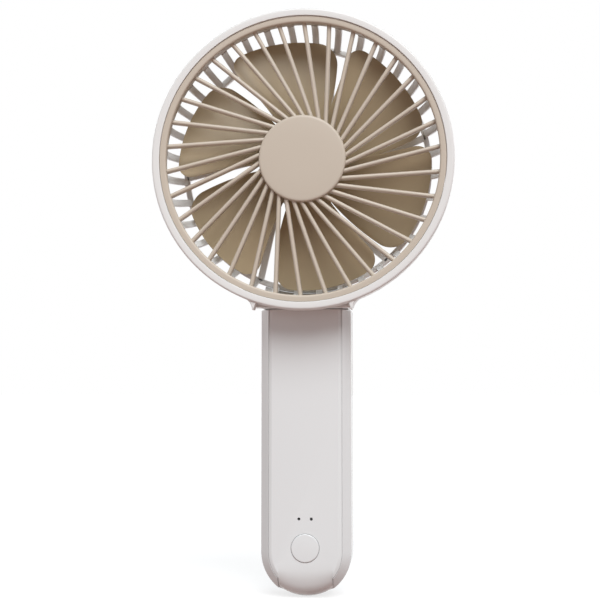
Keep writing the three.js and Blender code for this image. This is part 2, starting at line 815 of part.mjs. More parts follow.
// Outside of the handle without the raised panel: flat shoulders in front, round behind
const shoulderFront = handleSetback + shoulderDepth;
const shoulderEnd = shoulderFront + shoulderDrop;
function handleBody() {
  const layers = [[shoulderHalfWidth, shoulderFront], [handleHalfWidth, shoulderEnd]];
  const backRise = handleHalfWidth - backHalfWidth;
  const backSteps = 3;
  for (let i = 0; i <= backSteps; i += 1) {
    const turn = ((i / backSteps) * Math.PI) / 2;
    const depth = overallDepth - backEdge * (1 - Math.sin(turn));
    layers.push([backHalfWidth + backRise * Math.cos(turn), depth]);
  }
  return loft(layers.map(([halfWidth, depth]) => handleOutline(halfWidth, depth, handleLength)));
}

// Chin: the ramp that rolls from the panel back to the handle's round end
function chinProfile() {
  const [top, end] = [chinTop, handleSetback + chinDepth];
  const shape = new THREE.Shape();
  shape.moveTo(handleSetback, top + fitGap);
  shape.lineTo(handleSetback, top);
  shape.quadraticCurveTo(handleSetback + chinRollDepth, chinRollHeight, end, 0);
  shape.lineTo(end, chinWall);
  shape.quadraticCurveTo(
    handleSetback + chinRollDepth + chinWall, chinRollHeight + chinWall,
    handleSetback + panelWall, top + fitGap,
  );
  return shape;
}

// Room that the chin needs in the back shell, in front of its inner face
function chinRoom() {
  const [top, end] = [chinTop + fitGap, handleSetback + chinDepth + fitGap];
  const shape = new THREE.Shape();
  shape.moveTo(handleSetback - overrun, top + fitGap);
  shape.lineTo(handleSetback - overrun, -overrun);
  shape.lineTo(end, -overrun);
  shape.lineTo(end, chinWall + fitGap);
  shape.quadraticCurveTo(
    handleSetback + chinRollDepth + chinWall + fitGap, chinRollHeight + chinWall + fitGap,
    handleSetback + panelWall + fitGap, top + fitGap,
  );
  return sideways(shape, -chinHalfWidth - fitGap, chinHalfWidth + fitGap, 6);
}

const backScrewX = handleHalfWidth - backScrewInset;
const screwPlaces = [backScrewLow, handleLength - backScrewFromTop].flatMap((z) => (
  [[-backScrewX, z], [backScrewX, z]]
));
const tubPostFront = backInner - tubPostLength;
const postRod = (radius, front, rear, x, z, sides = smallSides) => (
  rod(radius, front, rear, sides).translate([x, 0, z])
);

// Hinge knuckle that stands on the handle's top, in the handle's own frame
function handleKnuckle() {
  const profile = new THREE.Shape();
  profile.moveTo(hingeDepth - knuckleRadius, handleLength - topWall / 2);
  profile.lineTo(hingeDepth + knuckleRadius, handleLength - topWall / 2);
  profile.lineTo(hingeDepth + knuckleRadius, hingeHeight);
  profile.absarc(hingeDepth, hingeHeight, knuckleRadius, 0, Math.PI, false);
  const bore = hingeRod(pinRadius + seatGap, -handleHalfWidth, handleHalfWidth)
    .translate([0, 0, headCentreHeight]);
  return sideways(profile, -knuckleHalfWidth, knuckleHalfWidth).subtract(bore);
}

const portDepth = overallDepth - portFromBack;
function portOutline(grow) {
  const radius = portHeight / 2 + grow;
  const reach = portWidth / 2 - portHeight / 2;
  const shape = new THREE.Shape();
  shape.absarc(reach, portDepth, radius, -Math.PI / 2, Math.PI / 2, false);
  shape.absarc(-reach, portDepth, radius, Math.PI / 2, (Math.PI * 3) / 2, false);
  return shape;
}

// Outline in X and depth, extruded upwards
function upward(shape, bottom, top, curveSegments = 6) {
  const options = { depth: top - bottom, bevelEnabled: false, curveSegments };
  return toSolid(new THREE.ExtrudeGeometry(shape, options).translate(0, 0, bottom));
}

function backShell() {
  const rise = (handleHalfWidth - shoulderHalfWidth) / shoulderDrop;
  const cavityHalf = handleHalfWidth - handleWall;
  const cavityFront = cavityHalf - rise * (shoulderEnd - lipRear);
  const cavity = loft([
    handleOutline(cavityFront, lipRear, cavityTop),
    handleOutline(cavityHalf, shoulderEnd, cavityTop),
    handleOutline(cavityHalf, backInner, cavityTop),
  ]);
  const opening = loft([handleSetback, lipRear + pressGap].map((depth) => (
    handleOutline(openingHalfWidth, depth, handleLength + overrun)
  )));
  let shell = cutAll(handleBody(), [cavity, opening, chinRoom()]);
  const solids = [shell, handleKnuckle()];
  screwPlaces.forEach(([x, z]) => {
    const rear = backInner + handleWall / 2;
    solids.push(postRod(screwPostRadius, tubPostFront, rear, x, z, tinySides));
  });
  chargePostPlaces.forEach(([x, z]) => {
    solids.push(postRod(chargePostRadius, chargeBoardRear, backInner + handleWall / 2, x, z, tinySides));
  });
  shell = joinAll(solids);
  const headSeat = overallDepth - screwHeadRecess - screwHeadHeight;
  const cutters = screwPlaces.flatMap(([x, z]) => [
    postRod(screwHoleRadius, tubPostFront - overrun, overallDepth, x, z, tinySides),
    postRod(screwHeadRadius + seatGap, headSeat, overallDepth + overrun, x, z, tinySides),
  ]);
  cutters.push(upward(portOutline(fitGap), -overrun, handleWall + overrun));
  return toMesh('back_shell', cutAll(shell, cutters), looks.whiteGloss);
}

function frontCover() {
  const bevelled = handleSetback + panelBevelDepth;
  let cover = loft([
    handleOutline(panelHalfWidth - panelBevel, handleSetback, handleLength),
    handleOutline(panelHalfWidth, bevelled, handleLength),
    handleOutline(panelHalfWidth, panelRear, handleLength),
  ]);
  const hollowHalf = panelHalfWidth - panelSkirt;
  const hollowTop = handleLength - fallLength - fallDrop;
  const hollow = loft([handleSetback + panelWall, panelRear + overrun].map((depth) => (
    handleOutline(hollowHalf, depth, hollowTop)
  )));
  const lowEnd = block(
    -chinHalfWidth, chinHalfWidth, handleSetback - overrun, panelRear + overrun, -overrun, chinTop,
  );
  const fallBottom = handleLength - fallLength;
  const slope = fallDrop / fallLength;
  const fall = sideways(polygon([
    [handleSetback - overrun, fallBottom], [handleSetback, fallBottom],
    [handleSetback + fallDrop + slope * overrun, handleLength + overrun],
    [handleSetback - overrun, handleLength + overrun],
  ]), -handleHalfWidth, handleHalfWidth);
  cover = cutAll(cover, [hollow, lowEnd, fall]);
  const column = loft([handleSetback - overrun, overallDepth].map((depth) => (
    handleOutline(handleHalfWidth, depth, handleLength)
  )));
  const chin = sideways(chinProfile(), -chinHalfWidth, chinHalfWidth, 6).intersect(column);
  const solids = [cover, chin];
  const postFront = handleSetback + panelWall / 2;
  screwPlaces.forEach(([x, z]) => {
    const front = z > hollowTop ? postFront + fallDrop : postFront;
    solids.push(postRod(screwPostRadius, front, tubPostFront - fitGap, x, z, tinySides));
  });
  boardPostPlaces.forEach(([x, z]) => {
    solids.push(postRod(boardPostRadius, postFront, mainBoardFront, x, z, tinySides));
  });
  cover = joinAll(solids);
  const cutters = screwPlaces.map(([x, z]) => (
    postRod(screwHoleRadius, backScrewTip - fitGap, tubPostFront + overrun, x, z, tinySides)
  ));
  const front = handleSetback - overrun;
  cutters.push(postRod(buttonRadius + seatGap, front, panelRear, 0, buttonHeight, innerSides));
  indicatorPlaces.forEach(([x, z]) => {
    cutters.push(postRod(indicatorHoleRadius, front, panelRear, x, z, tinySides));
  });
  return toMesh('front_cover', cutAll(cover, cutters), looks.whiteGloss);
}

// Button, its switch and the main board, stacked behind the panel
const coverInner = handleSetback + panelWall;
const flangeTop = coverInner + fitGap;
const flangeBottom = flangeTop + buttonFlangeThickness;
const postEnd = flangeBottom + buttonPostLength;
const switchFront = postEnd + plungerStandOff;
const mainBoardFront = switchFront + switchHeight;
const mainBoardRear = mainBoardFront + boardThickness;
const indicatorPlaces = [-1, 1].map((side) => [(side * indicatorSpacing) / 2, indicatorHeight]);
const mainBoardHalfWidth = backScrewX - screwPostRadius - boardSideGap;
const boardPostReach = mainBoardHalfWidth - boardPostInset;
const boardPostPlaces = [
  [-boardPostReach, mainBoardBottom + boardPostInset],
  [boardPostReach, mainBoardBottom + boardPostInset],
  [-boardPostReach, mainBoardTop - boardPostInset * 2],
  [boardPostReach, mainBoardTop - boardPostInset * 2],
];

function powerButton() {
  const face = handleSetback - buttonProud;
  const button = turned([
    [0, face], [buttonRadius - buttonRound, face], [buttonRadius, face + buttonRound],
    [buttonRadius, flangeTop], [buttonRadius + buttonFlange, flangeTop],
    [buttonRadius + buttonFlange, flangeBottom], [buttonPostRadius, flangeBottom],
    [buttonPostRadius, postEnd], [0, postEnd],
  ], innerSides).translate([0, 0, buttonHeight]);
  return toMesh('power_button', button, looks.whiteGloss);
}

function switchPlunger() {
  const plunger = postRod(plungerRadius, postEnd, postEnd + plungerLength, 0, buttonHeight);
  return toMesh('switch_plunger', plunger, looks.darkPlastic);
}

function tactSwitch() {
  const half = switchSize / 2;
  const housing = block(
    -half, half, switchFront, mainBoardFront, buttonHeight - half, buttonHeight + half,
  );
  const wellRear = switchFront + switchWellDepth;
  const well = postRod(plungerRadius + seatGap, switchFront - overrun, wellRear, 0, buttonHeight);
  return toMesh('tact_switch', housing.subtract(well), looks.darkPlastic);
}

function circuitBoard() {
  const board = block(
    -mainBoardHalfWidth, mainBoardHalfWidth, mainBoardFront, mainBoardRear,
    mainBoardBottom, mainBoardTop,
  );
  return toMesh('circuit_board', board, looks.board);
}

function lightPipe(name, [x, z]) {
  const foot = coverInner + pressGap;
  const pipe = turned([
    [0, handleSetback + pressGap], [lightPipeRadius, handleSetback + pressGap],
    [lightPipeRadius, foot], [lightPipeFootRadius, foot],
    [lightPipeFootRadius, mainBoardFront - fitGap], [0, mainBoardFront - fitGap],
  ], tinySides).translate([x, 0, z]);
  return toMesh(name, pipe, looks.clear);
}

// Charging socket on its own small board, opening through the round end
const chargeBoardFront = portDepth + portHeight / 2;
const chargeBoardRear = chargeBoardFront + boardThickness;
const chargePostHeight = chargeBoardBottom + chargeBoardLength - chargePostRadius * 2;
const chargePostReach = chargeBoardHalfWidth - chargePostRadius * 2;
const chargePostPlaces = [[-chargePostReach, chargePostHeight], [chargePostReach, chargePostHeight]];

function chargeBoard() {
  const board = block(
    -chargeBoardHalfWidth, chargeBoardHalfWidth, chargeBoardFront, chargeBoardRear,
    chargeBoardBottom, chargeBoardBottom + chargeBoardLength,
  );
  return toMesh('charge_board', board, looks.board);
}

function chargePort() {
  const top = portSetback + portLength;
  const shell = upward(portOutline(0), portSetback, top);
  const hollow = upward(portOutline(-portWall), portSetback - overrun, portSetback + portHollow);
  const reach = portWidth / 2 - portHeight / 2;
  const tongue = block(
    -reach, reach, portDepth - tongueHeight / 2, portDepth + tongueHeight / 2,
    portSetback + tongueHeight, top - portWall,
  );
  return toMesh('charge_port', shell.subtract(hollow).add(tongue), looks.steel);
}

// Rod along Z, as the cell is
function standing(points, sides, depth) {
  const profile = points.map(([radius, z]) => new THREE.Vector2(radius, z));
  const geometry = new THREE.LatheGeometry(profile, sides).rotateX(Math.PI / 2);
  return toSolid(geometry.translate(0, depth, 0));
}

// The cell fills the room between the posts, or between panel and back where that is less
const cellFront = coverInner + fallDrop + cellRound;
const cellRoomAcross = backScrewX - screwPostRadius - cellSideGap;
const cellRoomDeep = (backInner - cellFront - seatGap - padThickness) / 2;
const cellRadius = Math.min(cellRoomAcross, cellRoomDeep);
const cellDepth = cellFront + cellRadius;
const cellBottom = mainBoardTop + cellBoardGap;
const cellTop = cavityTop - cellTopGap;
function cell() {
  const top = cellTop;
  const can = standing([
    [0, cellBottom], [cellRadius - cellRound, cellBottom], [cellRadius, cellBottom + cellRound],
    [cellRadius, top - cellRound - cellNubHeight], [cellRadius - cellRound, top - cellNubHeight],
    [cellNubRadius, top - cellNubHeight], [cellNubRadius, top], [0, top],
  ], innerSides, cellDepth);
  return toMesh('battery_cell', can, looks.cellSleeve);
}

function cellPad() {
  const front = cellDepth + cellRadius + seatGap;
  const pad = block(
    -padHalfWidth, padHalfWidth, front, backInner, cellBottom + padEndInset, cellTop - padEndInset,
  );
  return toMesh('battery_pad', pad, looks.foam);
}

const backScrewTip = overallDepth - screwHeadRecess - backScrewLength;
function backScrew(name, [x, z]) {
  const headRear = overallDepth - screwHeadRecess;
  const headFront = headRear - screwHeadHeight;
  const screw = postRod(screwHeadRadius, headFront, headRear, x, z, tinySides)
    .add(postRod(screwShankRadius, backScrewTip, headFront + screwHeadHeight / 2, x, z, tinySides));
  return toMesh(name, screw, looks.steel);
}

function buildRotor() {
  const rotor = new THREE.Group();
  rotor.add(impeller(), rotorCan(), magnetRing(), motorShaft());
  return rotor;
}

function buildHead() {
  const head = new THREE.Group();
  head.add(frontRing(), frontGrille(), grilleCap(), headShell(), rearGrille(), motorCover());
  head.add(motorBase(), motorBoard(), statorCore());
  head.add(bearing('front_bearing', canFront + canFrontWall + 2 * airGap));
  head.add(bearing('rear_bearing', flangeFront - bearingWidth));
  for (let i = 0; i < toothCount; i += 1) {
    head.add(coil(`coil_${i + 1}`, (i * 360) / toothCount));
  }
  motorScrewAngles.forEach((angle, i) => head.add(motorScrew(`motor_screw_${i + 1}`, angle)));
  head.add(hingePin(), hingeWasher('hinge_washer_left', -1), hingeWasher('hinge_washer_right', 1));
  head.add(hingeCap('hinge_cap_left', -1), hingeCap('hinge_cap_right', 1));
  head.add(buildRotor());
  head.position.set(0, -overallDepth / 2, headCentreHeight);
  return head;
}

function buildHandle() {
  const handle = new THREE.Group();
  handle.add(backShell(), frontCover(), powerButton(), switchPlunger(), tactSwitch());
  handle.add(circuitBoard(), chargeBoard(), chargePort(), cell(), cellPad());
  handle.add(lightPipe('light_pipe_left', indicatorPlaces[0]));
  handle.add(lightPipe('light_pipe_right', indicatorPlaces[1]));
  screwPlaces.forEach((place, i) => handle.add(backScrew(`back_screw_${i + 1}`, place)));
  handle.position.set(0, -overallDepth / 2, 0);
  return handle;
}

const fan = new THREE.Group();
fan.add(buildHandle(), buildHead());

export default fan;
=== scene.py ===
"""Fine shells, guards, blades and finishes of a folding handheld fan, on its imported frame."""

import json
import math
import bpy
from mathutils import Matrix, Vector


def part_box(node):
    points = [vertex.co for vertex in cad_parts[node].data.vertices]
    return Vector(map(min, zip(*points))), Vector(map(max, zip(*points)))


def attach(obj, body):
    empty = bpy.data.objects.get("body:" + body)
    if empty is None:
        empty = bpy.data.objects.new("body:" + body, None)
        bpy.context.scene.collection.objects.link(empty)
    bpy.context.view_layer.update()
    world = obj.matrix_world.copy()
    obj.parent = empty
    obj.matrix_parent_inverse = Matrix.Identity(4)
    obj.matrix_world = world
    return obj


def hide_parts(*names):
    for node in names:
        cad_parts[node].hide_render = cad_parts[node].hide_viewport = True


bl_info = {
    "name": "Folding Handheld Fan",
    "version": (1, 0, 0),
    "blender": (4, 5, 0),
    "location": "View3D > Sidebar > Fan",
    "description": "Moulded shells, guards, fan wheel and finishes of a folding handheld fan",
    "category": "Add Mesh",
}

import bmesh
import bpy
from bpy.props import FloatProperty, FloatVectorProperty, IntProperty, PointerProperty
from mathutils import Matrix, Vector

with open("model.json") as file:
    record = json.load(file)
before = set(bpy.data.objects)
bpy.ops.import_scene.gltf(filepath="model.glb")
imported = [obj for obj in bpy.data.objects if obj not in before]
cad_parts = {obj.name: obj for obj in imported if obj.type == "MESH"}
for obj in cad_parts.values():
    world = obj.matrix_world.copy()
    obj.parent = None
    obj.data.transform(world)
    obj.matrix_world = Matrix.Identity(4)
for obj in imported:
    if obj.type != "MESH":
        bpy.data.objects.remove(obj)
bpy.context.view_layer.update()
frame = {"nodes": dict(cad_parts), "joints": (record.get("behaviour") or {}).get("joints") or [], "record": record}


def middle(name):
    """Middle of the box round one solid of the frame."""
    return sum(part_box(name), Vector()) / 2


MM = 0.001
JOINTS = {joint["name"]: joint for joint in frame["joints"]}
AXLE = Vector(JOINTS["rotor_spin"]["pos_m"])
HINGE = Vector(JOINTS["head_fold"]["pos_m"])
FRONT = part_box("front_ring")[0].y
HANDLE_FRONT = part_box("front_cover")[0].y
HANDLE_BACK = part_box("back_shell")[1].y
BUTTON = middle("power_button")
SHELL_SCREWS = sorted(name for name in frame["nodes"] if name.startswith("back_screw_"))
SCREW_HEAD_THICKNESS = 1.1 * MM
FULL_TURN = 2 * math.pi
QUARTER = math.pi / 2
SAME_PLACE = 0.001 * MM
CUT_OVERRUN = 1.0 * MM
PLASTIC_IOR = 1.5
MATERIALS = {}
STOOD_FOR = set()


def linear(hex_colour):
    """Linear RGBA of an sRGB colour written as #RRGGBB."""
    channels = [int(hex_colour[i:i + 2], 16) / 255 for i in (1, 3, 5)]
    bright = [((c + 0.055) / 1.055) ** 2.4 if c > 0.04045 else c / 12.92 for c in channels]
    return (*bright, 1.0)


def length(name, millimetres, description):
    """Length property with its default given in millimetres."""
    return FloatProperty(
        name=name, description=description, default=millimetres * MM,
        min=0.0, unit="LENGTH", precision=5,
    )


def angle(name, degrees, description):
    """Angle property with its default given in degrees."""
    return FloatProperty(
        name=name, description=description, default=math.radians(degrees), subtype="ANGLE",
    )


def colour(name, hex_colour, description):
    """Colour property with its default given as #RRGGBB."""
    return FloatVectorProperty(
        name=name, description=description, default=linear(hex_colour)[:3],
        size=3, min=0.0, max=1.0, subtype="COLOR",
    )


class HeadSizes(bpy.types.PropertyGroup):
    """Sizes of the round head, depths measured back from the ring's front plane."""

    ring_radius: length("Ring radius", 59.0, "Outside radius of the white ring")
    ring_width: length("Ring width", 3.0, "Radial width of the white ring")
    ring_depth: length("Ring depth", 7.0, "Depth of the white ring")
    ring_round: length("Ring edge", 0.9, "Rounding of the ring's outer front edge")
    rim_outer: length("Rim outside", 55.9, "Outside radius of the grille's rim")
    rim_width: length("Rim width", 2.6, "Radial width of the grille's rim at its front")
    rim_rear_width: length("Rim rear width", 1.5, "Radial width of the rim behind the spokes")
    rim_front: length("Rim setback", 0.55, "Depth where the grille's rim begins")
    rim_rear: length("Rim rear", 9.0, "Depth where the grille's rim ends")
    spoke_count: IntProperty(name="Spokes", description="Swirl spokes in front", default=34)
    spoke_width: length("Spoke width", 1.65, "Width of a front spoke")
    spoke_front: length("Spoke setback", 2.4, "Depth where the spokes begin")
    spoke_rear: length("Spoke rear", 5.2, "Depth where the spokes end")
    spoke_offset: length("Spoke offset", 8.6, "Radius that the spokes pass at a tangent")
    spoke_start: angle("Spoke start", -2.1, "Angle of the first spoke's nearest point")
    cap_radius: length("Cap radius", 17.0, "Radius of the centre cap")
    cap_front: length("Cap setback", 0.9, "Depth of the cap's face")
    cap_edge: length("Cap edge", 0.85, "Rounding of the cap's edge")
    cap_crown: length("Cap crown", 0.25, "How far the cap's face bulges")
    barrel_wall: length("Barrel wall", 1.7, "Wall of the casing behind the ring")
    barrel_front: length("Barrel front", 7.3, "Depth where the casing begins")
    barrel_rear: length("Barrel rear", 16.0, "Depth where the casing's barrel ends")
    barrel_taper: length("Barrel taper", 0.8, "How much the barrel narrows towards the back")
    saddle_half_width: length("Saddle half width", 19.3, "Half width of the saddle's foot")
    flare_half_width: length("Flare half width", 21.9, "Half width where the flare meets the barrel")
    lug_drop: length("Lug drop", 1.2, "How far the ring's lugs reach below the saddle")
    lug_front: length("Lug setback", 0.9, "Depth where the lugs begin")
    lug_root: length("Lug root", 17.7, "Distance from the middle where a lug leaves the ring")
    hinge_half_width: length("Hinge half width", 17.0, "Half width across the hinge ears")
    ear_inner: length("Ear inside", 9.6, "Distance from the middle to an ear's inner face")
    cap_seat: length("Pin cap seat", 2.55, "Radius of the seat of a pin's cap")


class GuardSizes(bpy.types.PropertyGroup):
    """Sizes of the rear guard."""

    ring_outer: length("Ring outside", 57.0, "Outside radius of the guard's seat ring")
    ring_width: length("Ring width", 1.0, "Radial width of the seat ring")
    ring_front: length("Ring front", 9.3, "Depth where the seat ring begins")
    ring_rear: length("Ring rear", 13.0, "Depth where the seat ring ends")
    dome_front: length("Dome front", 12.0, "Depth where the ribs leave the seat ring")
    dome_rear: length("Dome rear", 28.0, "Depth where the ribs meet the inner ring")
    dome_top: length("Dome top", 56.7, "Radius of the ribs where the dome begins")
    inner_radius: length("Inner ring", 50.5, "Outside radius of the inner ring")
    inner_width: length("Inner ring width", 2.0, "Radial width of the inner ring")
    plate_front: length("Plate front", 27.0, "Depth of the inner ring, spokes and motor plate")
    inner_depth: length("Inner ring depth", 3.0, "Depth of the inner ring")
    rib_count: IntProperty(name="Ribs", description="Ribs of the dome", default=36)
    rib_start: angle("Rib start", 5.7, "Angle of the first rib")
    rib_width: length("Rib width", 2.8, "Width of a rib")
    rib_thickness: length("Rib thickness", 1.8, "Thickness of a rib")
    spoke_count: IntProperty(name="Rear spokes", description="Spokes behind", default=17)
    spoke_width: length("Rear spoke width", 2.7, "Width of a rear spoke")
    plate_radius: length("Plate radius", 17.0, "Radius of the motor plate")
    plate_depth: length("Plate depth", 2.0, "Thickness of plate and rear spokes")
    lid_radius: length("Lid radius", 16.4, "Radius of the motor lid")
    lid_rear: length("Lid rear", 31.5, "Depth of the lid's face")


class WheelSizes(bpy.types.PropertyGroup):
    """Sizes of the bladed wheel."""

    blade_count: IntProperty(name="Blades", description="Blades of the wheel", default=6)
    tip: length("Tip radius", 50.3, "Radius of the blade tips")
    hub: length("Hub radius", 15.5, "Outside radius of the hub")
    hub_front: length("Hub front", 8.0, "Depth of the hub's face")
    hub_rear: length("Hub rear", 20.0, "Depth of the hub's open end")
    hub_wall: length("Hub wall", 2.3, "Wall of the hub")
    blade_front: length("Blade front", 10.0, "Depth of the blades' front edge")
    blade_span: length("Blade span", 13.0, "Depth that a blade covers at its tip")
    root_rise: length("Root rise", 2.6, "How much less depth a blade covers at its root")
    camber: length("Camber", 1.4, "Bulge of a blade's section")
    thickness: length("Blade thickness", 1.3, "Thickness of a blade")
    corner: length("Tip corner", 7.0, "Rounding of a blade's tip corners")
    gap: angle("Blade gap", 7.0, "Angle between one blade's tip and the next")
    root_gap: angle("Root gap", 1.5, "Angle between one blade's root and the next")
    start: angle("Blade start", 11.7, "Angle of the gap before the first blade, at its tip")
    sweep: angle("Sweep", 8.4, "Angle that the blades advance from root to tip")


class HandleSizes(bpy.types.PropertyGroup):
    """Sizes of the handle."""

    half_width: length("Half width", 18.0, "Half the handle's width and its end radius")
    top: length("Top", 114.0, "Height of the handle's flat top")
    panel_half_width: length("Panel half width", 14.5, "Half width of the raised panel")
    panel_bevel: length("Panel bevel", 1.25, "Width of the bevel along the panel's edge")
    panel_bevel_depth: length("Panel bevel depth", 0.6, "Depth of the bevel along the panel's edge")
    panel_rear: length("Panel rear", 2.9, "Depth of the panel's rear edge")
    panel_corner: length("Panel corner", 0.3, "Rounding of the panel's two upper corners")
    shoulder_gap: length("Shoulder gap", 0.2, "From the panel's side to the shoulder's beginning")
    shoulder_depth: length("Shoulder depth", 0.7, "Depth of the shoulder behind the panel's face")
    shoulder_drop: length("Shoulder drop", 4.7, "Depth over which the flat shoulder runs back")
    shoulder_round: length("Shoulder edge", 0.9, "Rounding between shoulder and side")
    back_half_width: length("Back half width", 15.2, "Half width of the flat back")
    back_edge: length("Back edge", 3.0, "Rounding of the back's edge")
    chin_half_width: length("Chin half width", 10.7, "Half width of the rolled chin")
    chin_top: length("Chin top", 13.7, "Height where the chin begins to roll back")
    chin_depth: length("Chin depth", 14.0, "Depth that the chin rolls back")
    chin_step: length("Chin step", 0.35, "How far the chin is set back between its two cheeks")
    fall_length: length("Fall length", 14.0, "Length over which the panel's top falls back")
    fall_drop: length("Fall drop", 0.7, "How far the panel's top falls back")
    button_radius: length("Button radius", 5.55, "Radius of the push button")
    knuckle_half_width: length("Knuckle half width", 8.4, "Half width of the hinge knuckle")
    knuckle_radius: length("Knuckle radius", 3.4, "Radius of the hinge knuckle and ears")


class Finishes(bpy.types.PropertyGroup):
    """Colours of the fan's materials."""

    handle_white: colour("Handle white", "#DADBDB", "Glossy white of the handle")
    head_white: colour("Head white", "#DFDEDC", "White of the ring, casing and guard")
    grille_beige: colour("Grille beige", "#BFB3A4", "Beige of the grille and cap")
    blade_tan: colour("Blade tan", "#B19E80", "Tan of the fan wheel")
    # Painted shade: the floor bounces this dark brown though it shows white, so the chin's underside turns brown
    # and dark
    floor: colour("Floor", "#754634", "Warm level at which the floor bounces light")


SIZE_GROUPS = {
    "fan_head": HeadSizes, "fan_guard": GuardSizes, "fan_wheel": WheelSizes,
    "fan_handle": HandleSizes, "fan_finishes": Finishes,
}


def sizes(name):
    """Property group of one kind of piece."""
    return getattr(bpy.context.scene, name)


# Mesh tools

def arc(centre, radius, first, last, steps):
    """Points of a round stretch from one angle to another, both ends among them."""
    turns = [first + (last - first) * i / steps for i in range(steps + 1)]
    return [(centre[0] + radius * math.cos(t), centre[1] + radius * math.sin(t)) for t in turns]


def crowned(radius, face, crown, power):
    """Profile of a bulged face from the middle out to a radius, where it has fallen by the crown."""
    shares = [i / 8 for i in range(9)]
    return [(share * radius, face + crown * share ** power) for share in shares]


def rounded(corners, radii, segments):
    """Closed outline with each corner rounded to its own radius."""
    points = []
    count = len(corners)
    for i, (corner, radius) in enumerate(zip(corners, radii)):
        here = Vector(corner)
        if radius == 0:
            points.append(here)
            continue
        back = (Vector(corners[i - 1]) - here).normalized()
        on = (Vector(corners[(i + 1) % count]) - here).normalized()
        half = back.angle(on) / 2
        centre = here + (back + on).normalized() * radius / math.sin(half)
        reach = radius / math.tan(half)
        start = (here + back * reach - centre).normalized()
        end = (here + on * reach - centre).normalized()
        for step in range(segments + 1):
            points.append(centre + start.slerp(end, step / segments) * radius)
    return points


def add_loop(bm, points, close=True):
    """Edges through a row of points."""
    verts = [bm.verts.new(point) for point in points]
    edges = [bm.edges.new(pair) for pair in zip(verts, verts[1:])]
    if close:
        edges.append(bm.edges.new((verts[-1], verts[0])))
    return verts, edges


def add_turned(bm, profile, steps=240, close=True):
    """Full spin of (radius, depth) points about the fan's axle."""
    points = [(0.0, FRONT + depth, AXLE.z + radius) for radius, depth in profile]
    verts, edges = add_loop(bm, points, close)
    bmesh.ops.spin(
        bm, geom=verts + edges, cent=(0.0, 0.0, AXLE.z), axis=(0.0, 1.0, 0.0),
        dvec=(0.0, 0.0, 0.0), angle=FULL_TURN, steps=steps, use_merge=True,
        use_normal_flip=False, use_duplicate=False,
    )


def add_ring(bm, radii, depths, edges, segments, steps=240):
    """Turned ring, with roundings for its inner front, outer front, outer rear and inner rear."""
    (inner, outer), (front, rear) = radii, depths
    corners = [(inner, front), (outer, front), (outer, rear), (inner, rear)]
    add_turned(bm, rounded(corners, edges, segments), steps)


def add_prism(bm, outline, offset, at=Matrix.Identity(4)):
    """Solid from a flat outline of 3-D points, extruded by an offset and placed."""
    verts = [bm.verts.new(point) for point in outline]
    moved = thicken(bm, [bm.faces.new(verts)], offset)
    bmesh.ops.transform(bm, matrix=at, verts=verts + moved)
    return verts + moved


def thicken(bm, faces, offset):
    """Close a sheet to a body, by a copy of it at an offset. The copy's corners are returned."""
    made = bmesh.ops.extrude_face_region(bm, geom=faces, use_keep_orig=True)
    moved = [item for item in made["geom"] if isinstance(item, bmesh.types.BMVert)]
    bmesh.ops.translate(bm, verts=moved, vec=offset)
    return moved


def add_rod(bm, radius, centre, span, axis="Y", segments=48):
    """Round bar along X or Y, with its corners returned."""
    turn = Matrix.Rotation(QUARTER, 4, {"X": "Y", "Y": "X"}[axis])
    return bmesh.ops.create_cone(
        bm, cap_ends=True, cap_tris=False, segments=segments, radius1=radius, radius2=radius,
        depth=span, matrix=Matrix.Translation(centre) @ turn,
    )["verts"]


def add_loft(bm, loops):
    """Solid through a row of closed outlines with the same number of points."""
    rows = [add_loop(bm, loop)[1] for loop in loops]
    for lower, upper in zip(rows, rows[1:]):
        bmesh.ops.bridge_loops(bm, edges=lower + upper)
    for row in (rows[0], rows[-1]):
        bmesh.ops.contextual_create(bm, geom=row)


def soften(bm, edges, offset, segments=3):
    """Round edges off."""
    bmesh.ops.bevel(
        bm, geom=edges, offset=offset, offset_type="OFFSET", segments=segments,
        profile=0.5, affect="EDGES", clamp_overlap=True, material=-1,
    )


def edges_among(bm, verts, test):
    """Edges between the given corners, where a test on their two ends holds."""
    chosen = set(verts)
    return [e for e in bm.edges if chosen.issuperset(e.verts) and test(*e.verts)]


def along_width(a, b):
    """Whether an edge's ends are equally far across, so that it bounds a side face."""
    return abs(a.co.x - b.co.x) < SAME_PLACE


def head_turn(turn):
    """Turn about the axle that carries +X to an angle in the front view, counted from +X to +Z."""
    centre = Matrix.Translation((0.0, 0.0, AXLE.z))
    return centre @ Matrix.Rotation(-turn, 4, "Y")


def shade(mesh, sharp_angle=35.0):
    """Smooth shading, with edges over an angle in degrees kept sharp."""
    mesh.shade_smooth()
    mesh.set_sharp_from_angle(angle=math.radians(sharp_angle))


def finish_piece(name, bm, body, slot, replaced, sharp_angle=35.0):
    """Closed, outward mesh as a smooth object that rides on its body."""
    bmesh.ops.remove_doubles(bm, verts=bm.verts, dist=2 * SAME_PLACE)
    bmesh.ops.recalc_face_normals(bm, faces=bm.faces)
    mesh = bpy.data.meshes.new(name)
    bm.to_mesh(mesh)
    bm.free()
    mesh.materials.append(MATERIALS[slot])
    shade(mesh, sharp_angle)
    piece = bpy.data.objects.new(name, mesh)
    bpy.context.scene.collection.objects.link(piece)
    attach(piece, body)
    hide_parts(*replaced)
    STOOD_FOR.update(replaced)
    return piece


